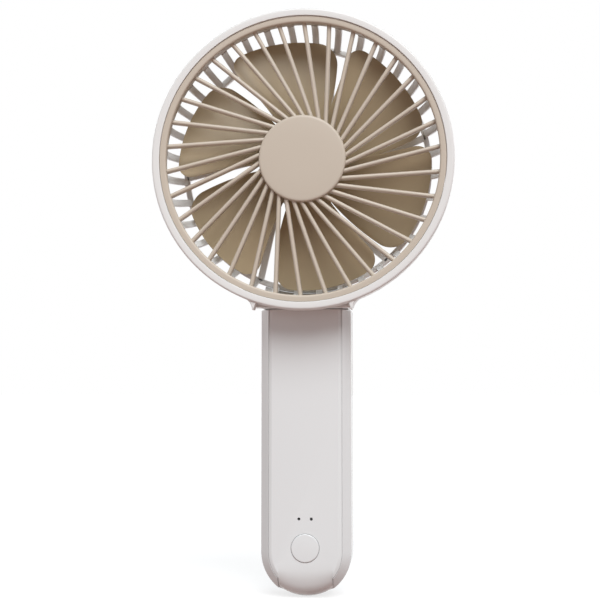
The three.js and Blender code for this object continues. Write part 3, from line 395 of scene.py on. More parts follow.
def cut(piece, shape):
    """Take the closed shape of a bmesh out of a finished piece."""
    mesh = bpy.data.meshes.new("cutter")
    bmesh.ops.recalc_face_normals(shape, faces=shape.faces)
    shape.to_mesh(mesh)
    shape.free()
    cutter = bpy.data.objects.new("cutter", mesh)
    bpy.context.scene.collection.objects.link(cutter)
    modifier = piece.modifiers.new("Cut", "BOOLEAN")
    modifier.operation = "DIFFERENCE"
    modifier.solver = "EXACT"
    modifier.object = cutter
    with bpy.context.temp_override(object=piece, active_object=piece, selected_objects=[piece]):
        bpy.ops.object.modifier_apply(modifier=modifier.name)
    bpy.data.objects.remove(cutter)
    bpy.data.meshes.remove(mesh)
    shade(piece.data)


def drill(radius, front, rear, at, segments=48):
    """Shape of a round hole along the fan's depth, as a bmesh of its own."""
    bm = bmesh.new()
    add_rod(bm, radius, (at.x, (front + rear) / 2, at.z), rear - front, segments=segments)
    return bm


def block(outline, offset):
    """Solid from a flat outline of 3-D points, as a bmesh of its own."""
    bm = bmesh.new()
    add_prism(bm, outline, offset)
    return bm


def lofted(loops):
    """Solid through a row of closed outlines, as a bmesh of its own."""
    bm = bmesh.new()
    add_loft(bm, loops)
    return bm


def tangent_bar_outline(width, front, rear, radii):
    """Section of a spoke, at the offset where it passes the axle."""
    offset = sizes("fan_head").spoke_offset
    left, right = offset - width / 2, offset + width / 2
    corners = [(left, rear), (left, front), (right, front), (right, rear)]
    return rounded(corners, radii, 4)


def add_tangent_bars(bm, count, section, inner, outer):
    """Straight spokes from one radius to another, tangent to a small circle."""
    head = sizes("fan_head")
    start = math.sqrt(inner ** 2 - head.spoke_offset ** 2)
    end = math.sqrt(outer ** 2 - head.spoke_offset ** 2)
    outline = [(across, FRONT + depth, start) for across, depth in section]
    for i in range(count):
        turn = head_turn(head.spoke_start + FULL_TURN * i / count)
        add_prism(bm, outline, (0.0, 0.0, end - start), turn)


# Materials

def add_node(tree, kind, inputs=None, links=None, feeds=None, **settings):
    """Node with its settings, input values, incoming links and the sockets that it feeds."""
    node = tree.nodes.new(kind)
    for key, value in settings.items():
        setattr(node, key, value)
    for key, value in (inputs or {}).items():
        node.inputs[key].default_value = value
    for key, socket in (links or {}).items():
        tree.links.new(socket, node.inputs[key])
    for key, socket in (feeds or {}).items():
        tree.links.new(node.outputs[key], socket)
    return node


def new_material(name, colour_value, roughness, metallic=0.0):
    """Plain material of one colour, its node tree and its shader."""
    material = bpy.data.materials.new(name)
    material.use_nodes = True
    shader = material.node_tree.nodes["Principled BSDF"]
    shader.inputs["Base Color"].default_value = (*colour_value[:3], 1.0)
    shader.inputs["Roughness"].default_value = roughness
    shader.inputs["Metallic"].default_value = metallic
    if metallic == 0.0:
        shader.inputs["IOR"].default_value = PLASTIC_IOR
    return material, material.node_tree, shader


def moulded_plastic(name, colour_value, roughness, grain_mm, grain_depth_mm, mottle=0.03):
    """Injection-moulded plastic: flow mottle in the colour, tool grain in roughness and bump."""
    material, tree, shader = new_material(name, colour_value, roughness)
    place = {"Vector": add_node(tree, "ShaderNodeTexCoord").outputs["Object"]}
    flow_mark, grain_size, grain_depth = 38 * MM, grain_mm * MM, grain_depth_mm * MM
    cloud = add_node(
        tree, "ShaderNodeTexNoise", {"Scale": 1 / flow_mark, "Detail": 2.0, "Roughness": 0.5}, place,
    ).outputs["Fac"]
    light = tuple(colour_value[:3])
    dark = tuple(c * (1 - mottle) for c in light)
    add_node(
        tree, "ShaderNodeMix", {"A": (*dark, 1.0), "B": (*light, 1.0)}, {"Factor": cloud},
        {"Result": shader.inputs["Base Color"]}, data_type="RGBA",
    )
    grain = add_node(
        tree, "ShaderNodeTexNoise", {"Scale": 1 / grain_size, "Detail": 3.0, "Roughness": 0.6}, place,
    ).outputs["Fac"]
    add_node(
        tree, "ShaderNodeMapRange",
        {"To Min": max(0.04, roughness - 0.05), "To Max": roughness + 0.06}, {"Value": grain},
        {"Result": shader.inputs["Roughness"]},
    )
    add_node(
        tree, "ShaderNodeBump", {"Strength": 0.5, "Distance": grain_depth}, {"Height": grain},
        {"Normal": shader.inputs["Normal"]},
    )
    return material


def turned_metal(name, hex_colour, roughness, line_mm, axis="Y"):
    """Drawn or turned metal: lines round the part that stretch the highlight."""
    material, tree, shader = new_material(name, linear(hex_colour), roughness, metallic=1.0)
    place = {"Vector": add_node(tree, "ShaderNodeTexCoord").outputs["Object"]}
    # Real tool lines are too fine to show, so they are drawn a few times as coarse and deep
    line_length, line_depth = 6 * MM, 0.01 * MM
    wide, fine = 1 / line_length, 1 / (line_mm * MM)
    scale = {"X": (fine, wide, wide), "Y": (wide, fine, wide), "Z": (wide, wide, fine)}[axis]
    stretched = add_node(tree, "ShaderNodeMapping", {"Scale": scale}, place).outputs["Vector"]
    lines = add_node(
        tree, "ShaderNodeTexNoise", {"Scale": 1.0, "Detail": 2.0}, {"Vector": stretched},
    ).outputs["Fac"]
    add_node(
        tree, "ShaderNodeMapRange", {"To Min": roughness * 0.75, "To Max": roughness * 1.35},
        {"Value": lines}, {"Result": shader.inputs["Roughness"]},
    )
    add_node(
        tree, "ShaderNodeBump", {"Strength": 0.25, "Distance": line_depth}, {"Height": lines},
        {"Normal": shader.inputs["Normal"]},
    )
    return material


def laid_wire(name, hex_colour, wire_mm):
    """Enamelled winding wire: close turns seen as bands, over twice as wide as the wire."""
    material, tree, shader = new_material(name, linear(hex_colour), 0.32, metallic=1.0)
    place = {"Vector": add_node(tree, "ShaderNodeTexCoord").outputs["Object"]}
    wire = wire_mm * MM
    turns = add_node(
        tree, "ShaderNodeTexWave", {"Scale": 1 / wire / FULL_TURN, "Distortion": 0.4}, place,
        wave_type="BANDS", bands_direction="DIAGONAL",
    ).outputs["Fac"]
    add_node(
        tree, "ShaderNodeBump", {"Strength": 0.8, "Distance": wire / 5}, {"Height": turns},
        {"Normal": shader.inputs["Normal"]},
    )
    return material


def circuit_laminate(name, hex_colour, track_hex):
    """Solder-masked glass-epoxy board: faint lighter tracks under a green film."""
    material, tree, shader = new_material(name, linear(hex_colour), 0.35)
    mask, copper, brick = linear(hex_colour), linear(track_hex), 3.2 * MM
    add_node(
        tree, "ShaderNodeTexBrick",
        {
            "Scale": 1 / brick, "Mortar Size": 0.05, "Color1": mask, "Color2": mask,
            "Mortar": copper,
        },
        {"Vector": add_node(tree, "ShaderNodeTexCoord").outputs["Object"]},
        {"Color": shader.inputs["Base Color"]},
    )
    return material


class FAN_OT_finishes(bpy.types.Operator):
    """Every material of the fan, by the record's slot"""

    bl_idname = "fan.finishes"
    bl_label = "Finishes"

    def execute(self, context):
        MATERIALS.update(fan_finishes(context.scene.fan_finishes))
        return {"FINISHED"}


def fan_finishes(colours):
    """Material of each slot: its colour, roughness, grain or line width in mm, and more."""
    handle, head = colours.handle_white, colours.head_white
    grille, blade = colours.grille_beige, colours.blade_tan
    return {
        # Polished ABS: near-mirror tool surface, with a very faint ripple
        "handle_white": moulded_plastic("Polished ABS White", handle, 0.16, 2.2, 0.004, 0.012),
        # Satin ABS: a finer, duller tool surface than the handle's
        "head_white": moulded_plastic("Satin ABS White", head, 0.3, 1.2, 0.006, 0.012),
        # Fine-grained ABS: spark-eroded tool grain, drawn at 0.5 mm so that it shows
        "grille_beige": moulded_plastic("Grained ABS Beige", grille, 0.42, 0.5, 0.012),
        # Fine-grained polypropylene of the wheel, a little waxy
        "blade_tan": moulded_plastic("Moulded Polypropylene Tan", blade, 0.4, 0.8, 0.01, 0.05),
        # Glass-filled nylon: dull and slightly rough, nearly black
        "black_plastic": moulded_plastic("Moulded Nylon Black", linear("#232325"), 0.5, 0.4, 0.01),
        # Clear acrylic in a dark hole reads nearly black from outside: its near-black colour is painted shade of
        # the hole behind it
        "clear_plastic": moulded_plastic("Clear Acrylic Painted Hole Shade", linear("#1A1A1C"), 0.12, 1.0, 0.002),
        # Glass-epoxy board under green solder mask: the copper shows as paler lines
        "board_green": circuit_laminate("Solder Masked Laminate", "#1D5238", "#2F7A52"),
        # Deep-drawn shell of the socket: bright, with faint lines round its mouth
        "port_steel": turned_metal("Drawn Nickelled Steel", "#B9BBBE", 0.28, 0.15, "Z"),
        # Heat-shrunk film: even colour, half gloss and shallow wrinkles
        "cell_sleeve": moulded_plastic("Shrink Sleeve Blue", linear("#3D6791"), 0.35, 1.4, 0.01),
        # Closed-cell foam: matt, with its small cells as pits
        "foam_pad": moulded_plastic("Closed Cell Foam", linear("#3A3A3C"), 0.9, 0.35, 0.08),
        # Turned brass: lines round the axle draw the highlight out
        "turned_brass": turned_metal("Turned Brass", "#C9A765", 0.3, 0.2),
        # Stacked silicon steel: a dull grey with the sheets' edges as lines
        "core_steel": turned_metal("Laminated Core Steel", "#77787C", 0.42, 0.35),
        # Ground races: the brightest steel of the fan
        "bearing_steel": turned_metal("Ground Bearing Steel", "#C3C5C9", 0.2, 0.15),
        # Centreless-ground pin: fine lines round it, as the grinding leaves them
        "pin_steel": turned_metal("Ground Pin Steel", "#B4B6BA", 0.24, 0.15, "X"),
        # Nickel plate over rolled steel: soft bright heads
        "screw_steel": turned_metal("Nickel Plated Screw Steel", "#A9ABAF", 0.3, 0.2),
        # Drawn can: lines round the axle under a thin plate
        "can_steel": turned_metal("Drawn Rotor Can Steel", "#A6A8AC", 0.3, 0.2),
        # Bonded ferrite: dark, matt and faintly grainy
        "magnet": moulded_plastic("Bonded Ferrite", linear("#464345"), 0.6, 0.3, 0.02),
        # Enamelled 0.3 mm wire: coppery gloss, the turns drawn at 0.7 mm so that they show
        "copper_wire": laid_wire("Enamelled Copper Wire", "#C07B45", 0.3),
    }


# Pieces of the head

class FAN_OT_front_ring(bpy.types.Operator):
    """White ring round the grille, with the two lugs that run down into the saddle"""

    bl_idname = "fan.front_ring"
    bl_label = "Front Ring"

    def execute(self, context):
        head = context.scene.fan_head
        radii = (head.ring_radius - head.ring_width, head.ring_radius)
        edges = [0.25 * MM, head.ring_round, 0.2 * MM, 0.2 * MM]
        bm = bmesh.new()
        add_ring(bm, radii, (0.0, head.ring_depth), edges, 8)
        for side in (-1, 1):
            add_lug(bm, side)
        finish_piece("ring_trim", bm, "head", "head_white", ["front_ring"])
        return {"FINISHED"}


def saddle_flare(radius, drop=0.0):
    """Right half of the saddle's flank: a curve from its foot out to a circle about the axle."""
    head = sizes("fan_head")
    bottom = HINGE.z - AXLE.z - sizes("fan_handle").knuckle_radius
    low = Vector((head.saddle_half_width, bottom - drop))
    across, hollow, rise = head.flare_half_width, 0.5 * MM, 2.0 * MM
    high = Vector((across, -math.sqrt(radius ** 2 - across ** 2)))
    bend = Vector((head.saddle_half_width + hollow, bottom + rise))
    shares = [i / 8 for i in range(9)]
    return [low * (1 - t) ** 2 + bend * 2 * t * (1 - t) + high * t ** 2 for t in shares]


def add_lug(bm, side):
    """Web from the ring's edge down to the saddle's corner."""
    head = sizes("fan_head")
    flare = saddle_flare(head.ring_radius, head.lug_drop)
    root, soft, tip_width = head.lug_root, head.ring_round, 0.5 * MM
    outline = [
        Vector((root, -math.sqrt(head.ring_radius ** 2 - root ** 2) + soft)),
        flare[0] - Vector((tip_width, 0.0)), *flare, flare[-1] + Vector((-soft, soft)),
    ]
    front = FRONT + head.lug_front
    points = [(side * p.x, front, AXLE.z + p.y) for p in outline]
    verts = add_prism(bm, points, (0.0, head.ring_depth - head.lug_front, 0.0))
    edges = edges_among(
        bm, verts, lambda a, b: all(abs(v.co.y - front) < SAME_PLACE for v in (a, b)),
    )
    soften(bm, edges, 0.35 * MM)


class FAN_OT_grille(bpy.types.Operator):
    """Beige grille: rim, swirl of straight spokes and the hub disc under the cap"""

    bl_idname = "fan.grille"
    bl_label = "Swirl Grille"

    def execute(self, context):
        head = context.scene.fan_head
        inner, outer = head.rim_outer - head.rim_width, head.rim_outer
        seat, lip_rear, draft = outer - head.rim_rear_width, 2.2 * MM, 0.1 * MM
        bm = bmesh.new()
        corners = [
            (inner, head.rim_front), (outer, head.rim_front), (outer, head.rim_rear),
            (seat, head.rim_rear), (seat, head.spoke_rear), (inner + draft, lip_rear),
        ]
        soft = [0.75 * MM, 0.15 * MM, 0.2 * MM, 0.3 * MM, 0.3 * MM, 0.3 * MM]
        add_turned(bm, rounded(corners, soft, 5))
        soft = head.spoke_width * 0.49
        section = tangent_bar_outline(
            head.spoke_width, head.spoke_front, head.spoke_rear, [0.25 * MM, soft, soft, 0.25 * MM],
        )
        disc, bore, root = 15.0 * MM, 5.2 * MM, 13.2 * MM
        add_tangent_bars(bm, head.spoke_count, section, root, outer - head.rim_rear_width / 2)
        depths = (head.spoke_front, head.spoke_rear)
        add_ring(bm, (bore, disc), depths, [0.0, 0.3 * MM, 0.3 * MM, 0.0], 3, 96)
        finish_piece("swirl_grille", bm, "head", "grille_beige", ["front_grille"])
        return {"FINISHED"}


class FAN_OT_cap(bpy.types.Operator):
    """Plain round cap over the grille's hub"""

    bl_idname = "fan.cap"
    bl_label = "Centre Cap"

    def execute(self, context):
        head = context.scene.fan_head
        radius, edge, seat = head.cap_radius, head.cap_edge, head.spoke_front
        spigot, spigot_rear = 5.0 * MM, head.spoke_rear + 0.6 * MM
        centre = (radius - edge, head.cap_front + head.cap_crown + edge)
        bm = bmesh.new()
        profile = crowned(radius - 1.2 * MM, head.cap_front, head.cap_crown, 4)
        profile += arc(centre, edge, -QUARTER, 0.0, 6)[1:]
        profile += [(radius, seat), (spigot, seat), (spigot, spigot_rear), (0.0, spigot_rear)]
        add_turned(bm, profile, 160, close=False)
        finish_piece("centre_cap", bm, "head", "grille_beige", ["grille_cap"])
        return {"FINISHED"}


def dome_radius(share):
    """Radius of the ribs' outside, from the dome's front at 0 to its rear at 1."""
    guard = sizes("fan_guard")
    drop = guard.dome_top - guard.inner_radius
    return guard.inner_radius + drop * math.cos(share * QUARTER)


class FAN_OT_casing(bpy.types.Operator):
    """White casing behind the ring: barrel, flared saddle and hinge ears"""

    bl_idname = "fan.casing"
    bl_label = "Head Casing"

    def execute(self, context):
        head, handle = context.scene.fan_head, context.scene.fan_handle
        outer, inner = head.ring_radius, head.ring_radius - head.barrel_wall
        bm = bmesh.new()
        corners = [
            (inner, head.barrel_front), (outer, head.barrel_front),
            (outer - head.barrel_taper, head.barrel_rear), (inner, head.barrel_rear),
        ]
        add_turned(bm, rounded(corners, [0.0, 0.2 * MM, 0.4 * MM, 0.15 * MM], 5))
        self.add_saddle(bm, head, inner)
        self.add_block(bm, head, handle)
        finish_piece("head_casing", bm, "head", "head_white", ["head_shell"])
        bm = bmesh.new()
        for side in (-1, 1):
            self.add_ear(bm, head, handle.knuckle_radius, side)
        ears = finish_piece("hinge_ears", bm, "head", "head_white", ["head_shell"])
        cut(ears, self.cap_seats(head))
        return {"FINISHED"}

    def add_saddle(self, bm, head, inner):
        """Flared front part, up to the inside of the barrel's wall."""
        flare = saddle_flare(head.ring_radius - head.barrel_taper)
        wall_middle = inner + (head.barrel_wall - head.barrel_taper) / 2
        end = math.acos(flare[-1].x / wall_middle)
        outline = [tuple(p) for p in flare] + arc((0.0, 0.0), wall_middle, -end, end - math.pi, 24)
        outline += [(-p.x, p.y) for p in reversed(flare)]
        points = [(x, FRONT + head.barrel_front, AXLE.z + z) for x, z in outline]
        verts = add_prism(bm, points, (0.0, head.barrel_rear - head.barrel_front, 0.0))
        rear = FRONT + head.barrel_rear
        edges = edges_among(bm, verts, lambda a, b: all(
            abs(v.co.y - rear) < SAME_PLACE and v.co.z < AXLE.z - inner for v in (a, b)
        ))
        soften(bm, edges, 0.4 * MM)

    def add_block(self, bm, head, handle):
        """Solid part between the dome and the hinge, hollowed on top to the dome's curve."""
        guard = sizes("fan_guard")
        overlap, before_hinge, dome_gap = 0.5 * MM, 5.5 * MM, 0.45 * MM
        half, bottom = head.hinge_half_width, HINGE.z - handle.knuckle_radius
        front, rear = head.barrel_rear - overlap, HINGE.y - FRONT - before_hinge
        top = bmesh.ops.create_grid(bm, x_segments=32, y_segments=24, size=0.5)["verts"]
        for v in top:
            x, depth = half * v.co.x * 2, front + (rear - front) * (v.co.y + 0.5)
            share = (depth - guard.dome_front) / (guard.dome_rear - guard.dome_front)
            radius = dome_radius(min(1.0, max(0.0, share))) + dome_gap
            v.co = (x, FRONT + depth, AXLE.z - math.sqrt(radius ** 2 - x ** 2))
        chosen = set(top)
        faces = [f for f in bm.faces if chosen.issuperset(f.verts)]
        for v in thicken(bm, faces, (0.0, 0.0, 0.0)):
            v.co.z = bottom

    def add_ear(self, bm, head, radius, side):
        """Hinge ear with a round end on the hinge axis, a hair inside the block's faces."""
        inset, before_hinge = 0.05 * MM, 6.5 * MM
        near, far, start = head.ear_inner, head.hinge_half_width - inset, HINGE.y - before_hinge
        outline = [(start, inset - radius), *arc((HINGE.y, 0.0), radius, -QUARTER, QUARTER, 24)]
        outline.append((start, radius))
        points = [(side * near, y, HINGE.z + z) for y, z in outline]
        verts = add_prism(bm, points, (side * (far - near), 0.0, 0.0))
        edges = edges_among(
            bm, verts,
            lambda a, b: along_width(a, b) and min(a.co.y, b.co.y) > start + 0.1 * MM,
        )
        soften(bm, edges, 0.3 * MM, 2)

    def cap_seats(self, head):
        """Round seats for the pin's two caps, as a bmesh of its own."""
        depth = 1.25 * MM
        across = head.hinge_half_width + (CUT_OVERRUN - depth) / 2
        seats = bmesh.new()
        for side in (-1, 1):
            place = (side * across, HINGE.y, HINGE.z)
            add_rod(seats, head.cap_seat, place, depth + CUT_OVERRUN, "X", 64)
        return seats


class FAN_OT_guard(bpy.types.Operator):
    """Rear guard: seat ring, dome of ribs, inner ring, swirl spokes and motor plate"""

    bl_idname = "fan.guard"
    bl_label = "Rear Guard"

    def execute(self, context):
        guard = context.scene.fan_guard
        bm = bmesh.new()
        radii = (guard.ring_outer - guard.ring_width, guard.ring_outer)
        depths = (guard.ring_front, guard.ring_rear)
        add_ring(bm, radii, depths, [0.2 * MM, 0.2 * MM, 0.3 * MM, 0.3 * MM], 4)
        lap, bore, root = 0.3 * MM, 1.6 * MM, 14.5 * MM
        inner, front = guard.inner_radius - guard.inner_width, guard.plate_front
        radii, depths = (inner, guard.inner_radius + lap), (front, front + guard.inner_depth)
        add_ring(bm, radii, depths, [0.4 * MM, 0.4 * MM, 0.7 * MM, 0.6 * MM], 4)
        radii, depths = (bore, guard.plate_radius), (front, front + guard.plate_depth)
        add_ring(bm, radii, depths, [0.0, 0.3 * MM, 0.4 * MM, 0.0], 4, 96)
        edges = [0.6 * MM, 0.35 * MM, 0.35 * MM, 0.6 * MM]
        section = tangent_bar_outline(guard.spoke_width, *depths, edges)
        add_tangent_bars(bm, guard.spoke_count, section, root, inner + guard.inner_width / 2)
        for i in range(guard.rib_count):
            self.add_rib(bm, guard, head_turn(guard.rib_start + FULL_TURN * i / guard.rib_count))
        finish_piece("back_guard", bm, "head", "head_white", ["rear_grille"])
        return {"FINISHED"}

    def add_rib(self, bm, guard, turn):
        """Bar of soft-edged section, bent along the dome from the seat ring to the inner ring."""
        thick, wide, soft = guard.rib_thickness, guard.rib_width / 2, 0.5 * MM
        corners = [(-thick, -wide), (0.0, -wide), (0.0, wide), (-thick, wide)]
        section = rounded(corners, [0.35 * MM, soft, soft, 0.35 * MM], 2)
        loops = []
        for i in range(9):
            share = i / 8
            radius = dome_radius(share)
            depth = guard.dome_front + (guard.dome_rear - guard.dome_front) * share
            loops.append([turn @ Vector((radius + p.x, FRONT + depth, p.y)) for p in section])
        add_loft(bm, loops)


class FAN_OT_motor_lid(bpy.types.Operator):
    """Round lid over the motor's screws, at the middle of the rear guard"""

    bl_idname = "fan.motor_lid"
    bl_label = "Motor Lid"

    def execute(self, context):
        guard = context.scene.fan_guard
        plate = guard.plate_front + guard.plate_depth
        outer, rear, edge, wall = guard.lid_radius, guard.lid_rear, 1.1 * MM, 1.0 * MM
        dish, step = 11.5 * MM, 0.35 * MM
        inner, floor = outer - wall, rear - wall - step
        profile = [(inner, plate), (outer, plate)]
        profile += arc((outer - edge, rear - edge), edge, 0.0, QUARTER, 6)
        profile += [(dish + step, rear), (dish, rear - step), (0.0, rear - step)]
        profile += [(0.0, floor), (inner, floor), (inner, plate)]
        bm = bmesh.new()
        add_turned(bm, profile, 128, close=False)
        finish_piece("motor_lid", bm, "head", "head_white", ["motor_cover"])
        return {"FINISHED"}


class FAN_OT_wheel(bpy.types.Operator):
    """Fan wheel: cup-shaped hub and its swept, twisted blades"""

    bl_idname = "fan.wheel"
    bl_label = "Fan Wheel"

    def execute(self, context):
        wheel = context.scene.fan_wheel
        outer, inner = wheel.hub, wheel.hub - wheel.hub_wall
        front, rear = wheel.hub_front, wheel.hub_rear
        floor, edge = front + 1.8 * MM, 1.6 * MM
        profile = [(0.0, front)]
        profile += arc((outer - edge, front + edge), edge, -QUARTER, 0.0, 6)
        profile += [(outer, rear), (inner, rear), (inner, floor), (0.0, floor)]
        bm = bmesh.new()
        add_turned(bm, profile, 128, close=False)
        for i in range(wheel.blade_count):
            self.add_blade(bm, wheel, head_turn(FULL_TURN * i / wheel.blade_count))
        finish_piece("fan_wheel", bm, "rotor", "blade_tan", ["impeller"], 50.0)
        return {"FINISHED"}

    def add_blade(self, bm, wheel, turn):
        """Curved sheet with rounded tip corners, thickened to a blade."""
        grid = bmesh.ops.create_grid(bm, x_segments=26, y_segments=30, size=0.5)["verts"]
        pitch = FULL_TURN / wheel.blade_count
        root = wheel.hub - wheel.hub_wall / 2
        for v in grid:
            out = math.sin((v.co.y + 0.5) * QUARTER)
            radius = root + (wheel.tip - root) * out
            reach = (radius - wheel.hub) / (wheel.tip - wheel.hub)
            into = max(0.0, radius - (wheel.tip - wheel.corner))
            inset = (wheel.corner - math.sqrt(max(0.0, wheel.corner ** 2 - into ** 2))) / radius
            gap = wheel.root_gap + (wheel.gap - wheel.root_gap) * reach
            whole = pitch - gap
            along = inset + (whole - 2 * inset) * (v.co.x + 0.5)
            around = wheel.start + wheel.sweep * (reach - 1) + gap / 2 + along
            lean = along / whole
            rise = wheel.blade_span - wheel.root_rise * (1 - reach)
            depth = wheel.blade_front + rise * (1 - lean) + wheel.camber * math.sin(math.pi * lean)
            place = Vector((radius * math.cos(around), FRONT + depth, radius * math.sin(around)))
            v.co = turn @ place
        sheet = set(grid)
        faces = [f for f in bm.faces if sheet.issuperset(f.verts)]
        bmesh.ops.recalc_face_normals(bm, faces=faces)
        half = wheel.thickness / 2
        thicken(bm, faces, (0.0, half, 0.0))
        bmesh.ops.translate(bm, verts=grid, vec=(0.0, -half, 0.0))
        across = {e for e in bm.edges if len(sheet.intersection(e.verts)) == 1}
        walls = {f for e in across for f in e.link_faces}
        outline = {e for f in walls for e in f.edges} - across
        # In the mesh's own order, as that of a set differs from run to run
        soften(bm, [e for e in bm.edges if e in outline], 0.3 * MM, 2)


# Pieces of the handle

def handle_loop(half_width, depth, corner=0.6 * MM, top=None):
    """Outline of the handle at one depth: round end below, square top with soft corners."""
    handle = sizes("fan_handle")
    centre, high = handle.half_width, (handle.top if top is None else top) - corner
    side = [centre + (high - centre) * i / 7 for i in range(1, 7)]
    outline = arc((0.0, centre), half_width, math.pi, FULL_TURN, 48)
    outline += [(half_width, z) for z in side]
    outline += arc((half_width - corner, high), corner, 0.0, QUARTER, 6)
    outline += arc((corner - half_width, high), corner, QUARTER, math.pi, 6)
    outline += [(-half_width, z) for z in reversed(side)]
    return [(x, HANDLE_FRONT + depth, z) for x, z in outline]


def chin_curve(share):
    """Depth behind the panel's face and height on the chin's roll, a little fuller than a circle."""
    handle = sizes("fan_handle")
    circle, fullness, step_end = 2.0, 3.0, 0.3
    turn, power = QUARTER * share, circle / fullness
    depth = (handle.chin_depth - handle.chin_step) * (1 - math.cos(turn) ** power)
    eased = min(1.0, share / step_end)
    depth += handle.chin_step * eased ** 2 * (3 - 2 * eased)
    return depth, handle.chin_top * (1 - math.sin(turn) ** power)


class FAN_OT_handle_tub(bpy.types.Operator):
    """Back shell of the handle: rounded shoulders, soft back edge, knuckle, socket and screw seats"""

    bl_idname = "fan.handle_tub"
    bl_label = "Handle Shell"

    def execute(self, context):
        handle = context.scene.fan_handle
        thickness, flat = HANDLE_BACK - HANDLE_FRONT, handle.back_half_width
        layers = self.shoulder(handle)
        for i in range(11):
            turn = QUARTER * i / 10
            width = flat + (handle.half_width - flat) * math.cos(turn)
            layers.append((width, thickness - handle.back_edge * (1 - math.sin(turn))))
        bm = lofted([handle_loop(width, depth) for width, depth in layers])
        tub = finish_piece("handle_tub", bm, "handle", "handle_white", ["back_shell"])
        for shape in self.rooms(handle, thickness):
            cut(tub, shape)
        self.join_knuckle(tub, handle)
        return {"FINISHED"}

    def shoulder(self, handle):
        """Half widths and depths of the flat shoulder, from the panel's edge to the straight side."""
        start = Vector((handle.panel_half_width + handle.shoulder_gap, handle.shoulder_depth))
        end = Vector((handle.half_width, handle.shoulder_depth + handle.shoulder_drop))
        along, back = (end - start).normalized(), Vector((0.0, 1.0))
        bend, keep = along.angle(back), 0.2 * MM
        reach = handle.shoulder_round * math.tan(bend / 2)
        centre = end + Vector((-handle.shoulder_round, reach))
        flat = [start, start + along * keep, end - along * (reach + keep)]
        corner = arc(centre, handle.shoulder_round, -bend, 0.0, 5)
        return [tuple(p) for p in flat] + corner + [tuple(end + back * (reach + keep))]

    def rooms(self, handle, thickness):
        """Shapes taken out of the shell: cell room, panel seat, chin room, socket, screw seats."""
        wall, roof, seat, seam = 1.8 * MM, 2.0 * MM, 3.2 * MM, 0.07 * MM
        start = handle.panel_half_width + handle.shoulder_gap
        inside, deep = handle.half_width - wall, handle.shoulder_depth + handle.shoulder_drop
        sides = ((start, seat), (inside, deep), (inside, thickness - wall))
        room = lofted([handle_loop(w, d, top=handle.top - roof) for w, d in sides])
        rim, top = handle.panel_half_width + seam, handle.top + CUT_OVERRUN
        depths = (-CUT_OVERRUN, seat + 0.1 * MM)
        opening = lofted([handle_loop(rim, d, handle.panel_corner, top) for d in depths])
        shapes = [room, opening, self.chin_room(handle), self.socket_room()]
        for name in SHELL_SCREWS:
            low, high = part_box(name)
            radius = (high.x - low.x) / 2 + 0.2 * MM
            floor, outside = high.y - SCREW_HEAD_THICKNESS, HANDLE_BACK + CUT_OVERRUN
            shapes.append(drill(radius, floor, outside, middle(name)))
        return shapes

    def chin_room(self, handle):
        """Space that the rolled chin takes between the two shoulders."""
        gap, behind, shift, margin = 0.25 * MM, 0.3 * MM, 2.1 * MM, 2.4 * MM
        half, front, low = handle.chin_half_width + gap, HANDLE_FRONT - CUT_OVERRUN, -CUT_OVERRUN
        rear, top = HANDLE_FRONT + handle.chin_depth + behind, handle.chin_top + margin
        outline = [(front, low), (rear, low), (rear, margin)]
        for i in range(12, -1, -1):
            depth, height = chin_curve(i / 12)
            inward = (HANDLE_FRONT + depth + shift, height + shift)
            if inward[0] < rear and inward[1] > outline[-1][1]:
                outline.append(inward)
        outline += [(HANDLE_FRONT + shift, top), (front, top)]
        return block([(-half, y, z) for y, z in outline], (2 * half, 0.0, 0.0))

    def socket_room(self):
        """Slot for the charging socket in the round end."""
        low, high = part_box("charge_port")
        centre, gap, depth = (low.y + high.y) / 2, 0.3 * MM, 2.8 * MM
        radius, reach = (high.y - low.y) / 2 + gap, (high.x - low.x - high.y + low.y) / 2
        outline = arc((reach, centre), radius, -QUARTER, QUARTER, 16)
        outline += arc((-reach, centre), radius, QUARTER, 3 * QUARTER, 16)
        return block([(x, y, -CUT_OVERRUN) for x, y in outline], (0.0, 0.0, depth + CUT_OVERRUN))

    def join_knuckle(self, tub, handle):
        """Hinge knuckle on the flat top, added to the shell's own mesh."""
        bm = bmesh.new()
        bm.from_mesh(tub.data)
        radius, half = handle.knuckle_radius, handle.knuckle_half_width
        low = handle.top - 1.0 * MM
        outline = [(HINGE.y - radius, low), (HINGE.y + radius, low)]
        outline += arc((HINGE.y, HINGE.z), radius, 0.0, math.pi, 24)
        verts = add_prism(bm, [(-half, y, z) for y, z in outline], (2 * half, 0.0, 0.0))
        edges = edges_among(
            bm, verts, lambda a, b: along_width(a, b) and max(a.co.z, b.co.z) > low + 0.1 * MM,
        )
        soften(bm, edges, 0.3 * MM, 2)
        bm.to_mesh(tub.data)
        bm.free()
        shade(tub.data)


